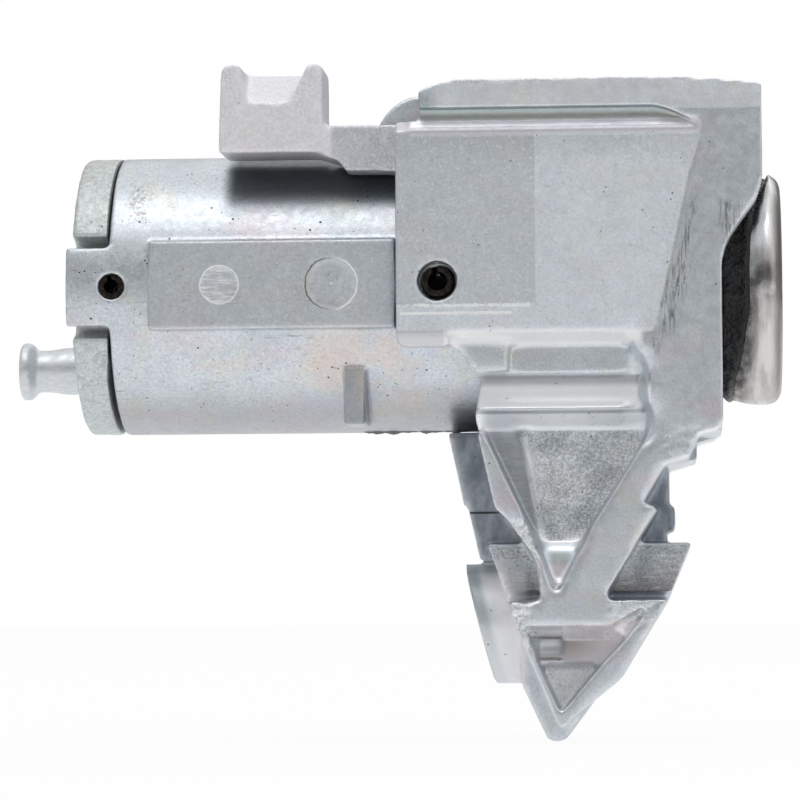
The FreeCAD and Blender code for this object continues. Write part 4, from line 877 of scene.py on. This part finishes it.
def sculptBracket(points, normals):
    look = castLook["bracket"]
    broken = numpy.zeros(len(points))
    inward = 0.02 * (1 + roughNoise(points, 0.35, 2))
    for low, high, depth, fine in tornPlaces:
        share = boxShare(points, low, high, 0.35)
        chosen = numpy.nonzero(share > 0.01)[0]
        rough = 0.5 + 0.5 * roughNoise(points[chosen], fine, 4)
        inward[chosen] += depth * share[chosen] * numpy.maximum(rough - 0.25, 0)
        broken = numpy.maximum(broken, share * min(1.0, depth * 2.2))
    points -= normals * inward[:, None]
    # the groove is filled less deep than the CAD's, and so is the ledge's recess
    groove = smoothStep(numpy.abs(points[:, 1]), 14.2, 14.5) * smoothStep(points[:, 2], 13.9, 14.3)
    groove *= smoothStep(points[:, 2], 17.0, 16.6) * smoothStep(points[:, 0], 0.8, 1.6)
    side = numpy.sign(points[:, 1])
    depth = look["halfDepth"] - numpy.abs(points[:, 1])
    points[:, 1] = side * (look["halfDepth"] - depth * (1 - look["grooveFill"] * groove))
    step = boxShare(points, *look["recess"], 0.15)
    points[:, 1] += look["recessFill"] * step * (look["recessFloor"] - points[:, 1])
    return broken


# the ring stands off the barrel a little on its lower half, and its edges are chipped
def sculptRing(points, normals):
    inward = 0.05 * (1 + roughNoise(points, 0.6, 3))
    points -= normals * inward[:, None]
    front = smoothStep(points[:, 0], -29.4, -28.4) * smoothStep(points[:, 2], -4.5, -9.5)
    points[:, 0] -= 0.45 * front
    return numpy.zeros(len(points))


def sculptBarrel(points, normals):
    points -= normals * (0.012 * (1 + roughNoise(points, 0.4, 2)))[:, None]
    return numpy.zeros(len(points))


skinCopy("bracket", "bracketCasting", "bracket", sculptBracket)
skinCopy("barrel", "barrelCasting", "barrel", sculptBarrel)
skinCopy("rear_cap", "rearCapRing", "ring", sculptRing)
# wafer springs become merged copies with meshes of their own, on the plug
for number in range(1, waferCount + 1):
    coil = mergedCopy(f"wafer_spring_{number}")
    spring = link(f"waferSpring{number}", coil, materials["spring"], "plug")
    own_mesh(spring)
    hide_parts(f"wafer_spring_{number}")
softEdged("bracket_pin", "bracketSpringPin", "housing", "pin")
softEdged("rear_cap_pin", "capSpringPin", "housing", "pin")
print("stage: castings made")


# turns a closed profile of (x, radius) in millimetres about the barrel's axis
def lathe(profile, turns):
    shape = bmesh.new()
    rim = [shape.verts.new((x * mm, 0, r * mm)) for x, r in profile]
    edges = [shape.edges.new((rim[i], rim[(i + 1) % len(rim)])) for i in range(len(rim))]
    bmesh.ops.spin(shape, geom=rim + edges, cent=(0, 0, 0), axis=(1, 0, 0), angle=math.tau,
                   steps=turns, use_merge=True)
    bmesh.ops.remove_doubles(shape, verts=shape.verts, dist=0.001 * mm)
    bmesh.ops.recalc_face_normals(shape, faces=shape.faces)
    smoothed(shape)
    return shape


def finishShape(shape, name, body, finish, slot, *replaced):
    mesh = bpy.data.meshes.new(name)
    shape.to_mesh(mesh)
    shape.free()
    piece = link(name, mesh, materials[finish], body)
    if replaced:
        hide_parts(*replaced)


def within(value, low=0.0, high=1.0):
    return max(low, min(high, value))


def lumps(x, y, z, fine):
    return turbulence(Vector((x, y, z)) * fine, 3, False)


# moves a point of a turned piece towards the barrel's axis
def pullIn(vertex, radius, depth):
    vertex.co.y *= (radius - depth) / radius
    vertex.co.z *= (radius - depth) / radius


# pressed stainless cap over the barrel's head; its rear edge is crimped unevenly
cap = {
    "front": 37.2,
    "rear": 33.85,
    "radius": 11.45,
    "wall": 0.55,
    "bend": 1.5,
    "mouth": 7.2,
    "lip": 9.95,
    "roll": 0.35,  # rounding of the rear edge
    "waist": 0.35,  # how much narrower the rear is
    "flare": 2.2,
    "topShift": 2.4,
    "bottomShift": -2.0,
    "mostBack": -1.6,
    "mostForward": 1.9,
    "waves": 0.16,
    "dents": 0.07,
    "straightFrom": 36.3,  # from here on the front stays true
    "crimpReach": 2.2,
    "steps": 180,
}


# how far the crimped edge stands forward of its plain place
def crimpShift(y, z):
    share = within(z / cap["radius"], -1.0)
    lean = cap["topShift"] * share ** 3 if share > 0 else cap["bottomShift"] * share ** 2
    around = math.atan2(y, z)
    wave = turbulence(Vector((math.cos(around) * 2.6, math.sin(around) * 2.6, 0.3)), 3, False)
    return within(lean + cap["waves"] * wave, cap["mostBack"], cap["mostForward"])


def makeCap():
    front, rear, radius, wall, bend = cap["front"], cap["rear"], cap["radius"], cap["wall"], cap["bend"]
    roll, mouth, lip, waist = cap["roll"], cap["mouth"], cap["lip"], cap["waist"]
    low = radius - waist
    outer = [(front - bend + bend * math.sin(a), radius - bend + bend * math.cos(a))
             for a in (math.pi / 2 * i / 10 for i in range(11))]
    rolled = [(rear + roll - roll * math.sin(a), low - roll + roll * math.cos(a))
              for a in (math.pi / 2 * (1 - i / 5) for i in range(6))]
    side = [(rear + roll + (front - bend - rear - roll) * t,
             low + waist * (1 - (1 - t) ** cap["flare"])) for t in (i / 8 for i in range(1, 8))]
    profile = [(rear, lip)] + rolled + side + outer
    profile += [(front, mouth + 0.25), (front - 0.12, mouth + 0.06), (front - 0.3, mouth)]
    profile += [(front - wall, mouth), (front - wall, radius - bend), (front - bend, low - wall)]
    profile += [(rear + 0.5, low - wall), (rear + 0.5, lip)]
    shape = lathe(profile, cap["steps"])
    crimp = shape.verts.layers.float.new("crimp")
    for vertex in shape.verts:
        x, y, z = vertex.co / mm
        vertex[crimp] = max(0.0, 1 - (x - rear) / cap["crimpReach"])
        follow = within((cap["straightFrom"] - x) / (cap["straightFrom"] - rear))
        vertex.co.x += crimpShift(y, z) * follow * mm
        pullIn(vertex, math.hypot(y, z), cap["dents"] * (1 + lumps(x, y, z, 0.55)) * follow)
    finishShape(shape, "pressedCap", "housing", "stainless", "stainless_cap", "face_cap")


# rubber seal squeezed out between the bracket and the cap
seal = {
    "rear": 31.36,
    "front": 34.5,
    "radius": 11.2,
    "neck": 9.76,
    "bulge": 0.35,
    "lumps": 0.7,
    "bareTo": 33.9,
    "mostForward": 1.3,
    "coveredRadius": 10.86,  # what lies under the cap
    "steps": 200,
}


def makeSeal():
    rear, front, neck, bulge = seal["rear"], seal["front"], seal["neck"], seal["bulge"]
    half = (front - rear) / 2
    middle = (front + rear) / 2
    top = seal["radius"] - bulge
    crown = [(middle - half * math.cos(a), top + bulge * math.sin(a) ** 0.5)
             for a in (math.pi * i / 16 for i in range(17))]
    shape = lathe([(rear, neck)] + crown + [(front, neck)], seal["steps"])
    for vertex in shape.verts:
        x, y, z = vertex.co / mm
        radius = math.hypot(y, z)
        edge = cap["rear"] + crimpShift(y, z)
        x += within(crimpShift(y, z), 0.0, seal["mostForward"]) * max(0.0, (x - rear) / (front - rear))
        vertex.co.x = x * mm
        if radius < top - 0.01:
            continue
        free = within((min(edge, seal["bareTo"]) - 0.25 - x) / 0.5)
        shrink = seal["lumps"] * (0.5 + 0.5 * lumps(x, y, z, 0.9)) * free
        shrink += max(0.0, radius - shrink - seal["coveredRadius"]) * within((x - edge) / 0.25)
        pullIn(vertex, radius, shrink)
    finishShape(shape, "squeezedSeal", "housing", "rubber", "rubber_seal", "face_seal")


# crank: its disc and shaft from the CAD node, its rod pin turned with a hollow waist
crank = {
    "rear": -31.9,
    "end": -38.8,
    "height": -7.4,
    "root": 2.35,
    "waist": 2.1,
    "head": 2.86,
    "rounding": 0.45,
    "headEnd": 0.75,  # lengths from the end
    "waistStart": 1.9,
    "waistEnd": 2.6,
    "rootStart": 4.8,
    "sunk": 0.4,  # how far the pin reaches into the disc
    "rings": 44,
    "steps": 64,
}


# half a cosine wave from one radius to the next
def eased(start, end, share):
    return start + (end - start) * (0.5 - 0.5 * math.cos(math.pi * share))


# radius of the rod pin at x: rounded head, hollow waist, straight root
def pinRadius(x):
    away = x - crank["end"]
    head, waist, bend = crank["head"], crank["waist"], crank["rounding"]
    if away < bend:
        return head - bend + math.sqrt(max(0.0, bend ** 2 - (bend - away) ** 2))
    if away < crank["headEnd"]:
        return head
    if away < crank["waistStart"]:
        return eased(head, waist, (away - crank["headEnd"]) / (crank["waistStart"] - crank["headEnd"]))
    if away < crank["waistEnd"]:
        return waist
    share = (away - crank["waistEnd"]) / (crank["rootStart"] - crank["waistEnd"])
    return eased(waist, crank["root"], min(1.0, share))


def makeCrank():
    piece = softEdged("crank", "crankLever", "crank", "crank")
    shape = bmesh.new()
    shape.from_mesh(piece.data)
    cut = ((crank["rear"] - 0.02) * mm, 0, 0)
    whole = shape.verts[:] + shape.edges[:] + shape.faces[:]
    bmesh.ops.bisect_plane(shape, geom=whole, dist=0.0001 * mm, plane_co=cut, plane_no=(-1, 0, 0),
                           clear_outer=True)
    bmesh.ops.holes_fill(shape, edges=[e for e in shape.edges if e.is_boundary], sides=0)
    bmesh.ops.recalc_face_normals(shape, faces=shape.faces)
    smoothed(shape)
    shape.to_mesh(piece.data)
    shape.free()
    start, end = crank["end"], crank["rear"] + crank["sunk"]
    places = [start + (end - start) * (i / crank["rings"]) ** 1.4 for i in range(crank["rings"] + 1)]
    profile = [(start, 0.0)] + [(x, pinRadius(x)) for x in places] + [(end, 0.0)]
    shape = lathe(profile, crank["steps"])
    bmesh.ops.translate(shape, verts=shape.verts, vec=(0, 0, crank["height"] * mm))
    finishShape(shape, "crankRodPin", "crank", "crank", "steel_crank")


# parting flash along the barrel's underside
flash = {
    "start": -4.2,
    "end": 6.2,
    "height": 0.42,
    "width": 0.5,
    "side": -0.9,
    "top": -13.6,
    "skin": -13.82,
    "pieces": 60,
}


def makeFlash():
    shape = bmesh.new()
    bmesh.ops.create_cube(shape, size=1.0)
    lengthwise = [e for e in shape.edges if abs(e.verts[0].co.x - e.verts[1].co.x) > 0.5]
    bmesh.ops.subdivide_edges(shape, edges=lengthwise, cuts=flash["pieces"], use_grid_fill=True)
    middle = (flash["start"] + flash["end"]) / 2
    for vertex in shape.verts:
        x = middle + vertex.co.x * (flash["end"] - flash["start"])
        rough = 0.5 + 0.5 * turbulence(Vector((x * 1.1, 0.2, 0.4)), 3, False)
        low = flash["skin"] - flash["height"] * max(0.0, rough - 0.2)
        vertex.co = Vector((x, vertex.co.y * flash["width"] + flash["side"],
                            flash["top"] if vertex.co.z > 0 else low)) * mm
    smoothed(shape)
    finishShape(shape, "partingFlash", "housing", "flash", "zinc_casting")


makeCap()
makeSeal()
makeCrank()
makeFlash()
print("stage: cap, seal, crank and flash made")

# studio: the world is darkest round the horizon, on the near side and the far side
studio = {
    "floor": cadBox[0].z - 0.05 * mm,
    "floorSize": 6.0,
    "floorShown": 0.94,
    "top": 0.95,
    "bottom": 0.8,
    "front": 0.3,
    "sides": 0.6,
    "bandStart": 0.24,
    "bandEnd": 0.87,
    # place, aim, size and power
    "lamps": {
        "keyLight": ((-0.12, -0.3, 0.72), (0, 0, 0), (0.5, 0.3), 1.0),
        "fillLight": ((0.6, -0.5, 0.15), (0, 0, -0.01), (0.5, 0.5), 0.5),
        "rimLight": ((0.2, 0.6, 0.5), (0, 0, 0), (0.6, 0.4), 0.6),
    },
}


def areaLight(name, place, aim, size, power):
    lamp = bpy.data.lights.new(name, "AREA")
    lamp.shape = "RECTANGLE"
    lamp.size, lamp.size_y = size
    lamp.energy = power
    light = bpy.data.objects.new(name, lamp)
    direction = Vector(aim) - Vector(place)
    turn = direction.to_track_quat("-Z", "Y").to_matrix().to_4x4()
    light.matrix_world = Matrix.Translation(place) @ turn
    bpy.context.scene.collection.objects.link(light)


def makeFloor():
    bpy.ops.mesh.primitive_grid_add(size=studio["floorSize"], location=(0, 0, studio["floor"]))
    floor = bpy.context.object
    floor.name = "paleFloor"
    openTree(bpy.data.materials.new("paleFloor"))
    current["nodes"].clear()
    path = newNode("LightPath")
    pale = put("BsdfDiffuse", {"Color": (0.9, 0.9, 0.9, 1)})
    white = put("Emission", {"Color": (1, 1, 1, 1), "Strength": 1.0})
    bounced = plus(path.outputs["Is Glossy Ray"], path.outputs["Is Transmission Ray"])
    share = plus(times(path.outputs["Is Camera Ray"], studio["floorShown"]), bounced)
    newNode("OutputMaterial", {0: put("MixShader", {0: share, 1: pale, 2: white})})
    floor.data.materials.append(current["owner"])


def makeWorld():
    openTree(bpy.data.worlds.new("studioWorld"))
    bpy.context.scene.world = current["owner"]
    path = newNode("LightPath")
    shown = plus(path.outputs["Is Camera Ray"], path.outputs["Is Transmission Ray"])
    y, z = split(put("TexCoord", out=0))[1:]
    height = ramp(z, -0.2, 0.7, studio["bottom"], studio["top"])
    horizon = ramp(unsigned(y), 0.75, 0.1, studio["front"], studio["sides"])
    band = ramp(unsigned(z), studio["bandStart"], studio["bandEnd"], horizon, 1.0)
    level = put("Mix", {0: shown, 2: times(height, band), 3: 1.0})
    background = current["nodes"]["Background"]
    feed(level, background.inputs["Strength"])
    feed((1, 1, 1, 1), background.inputs["Color"])


makeFloor()
makeWorld()
for name, lamp in studio["lamps"].items():
    areaLight(name, *lamp)
print("stage: studio lit")
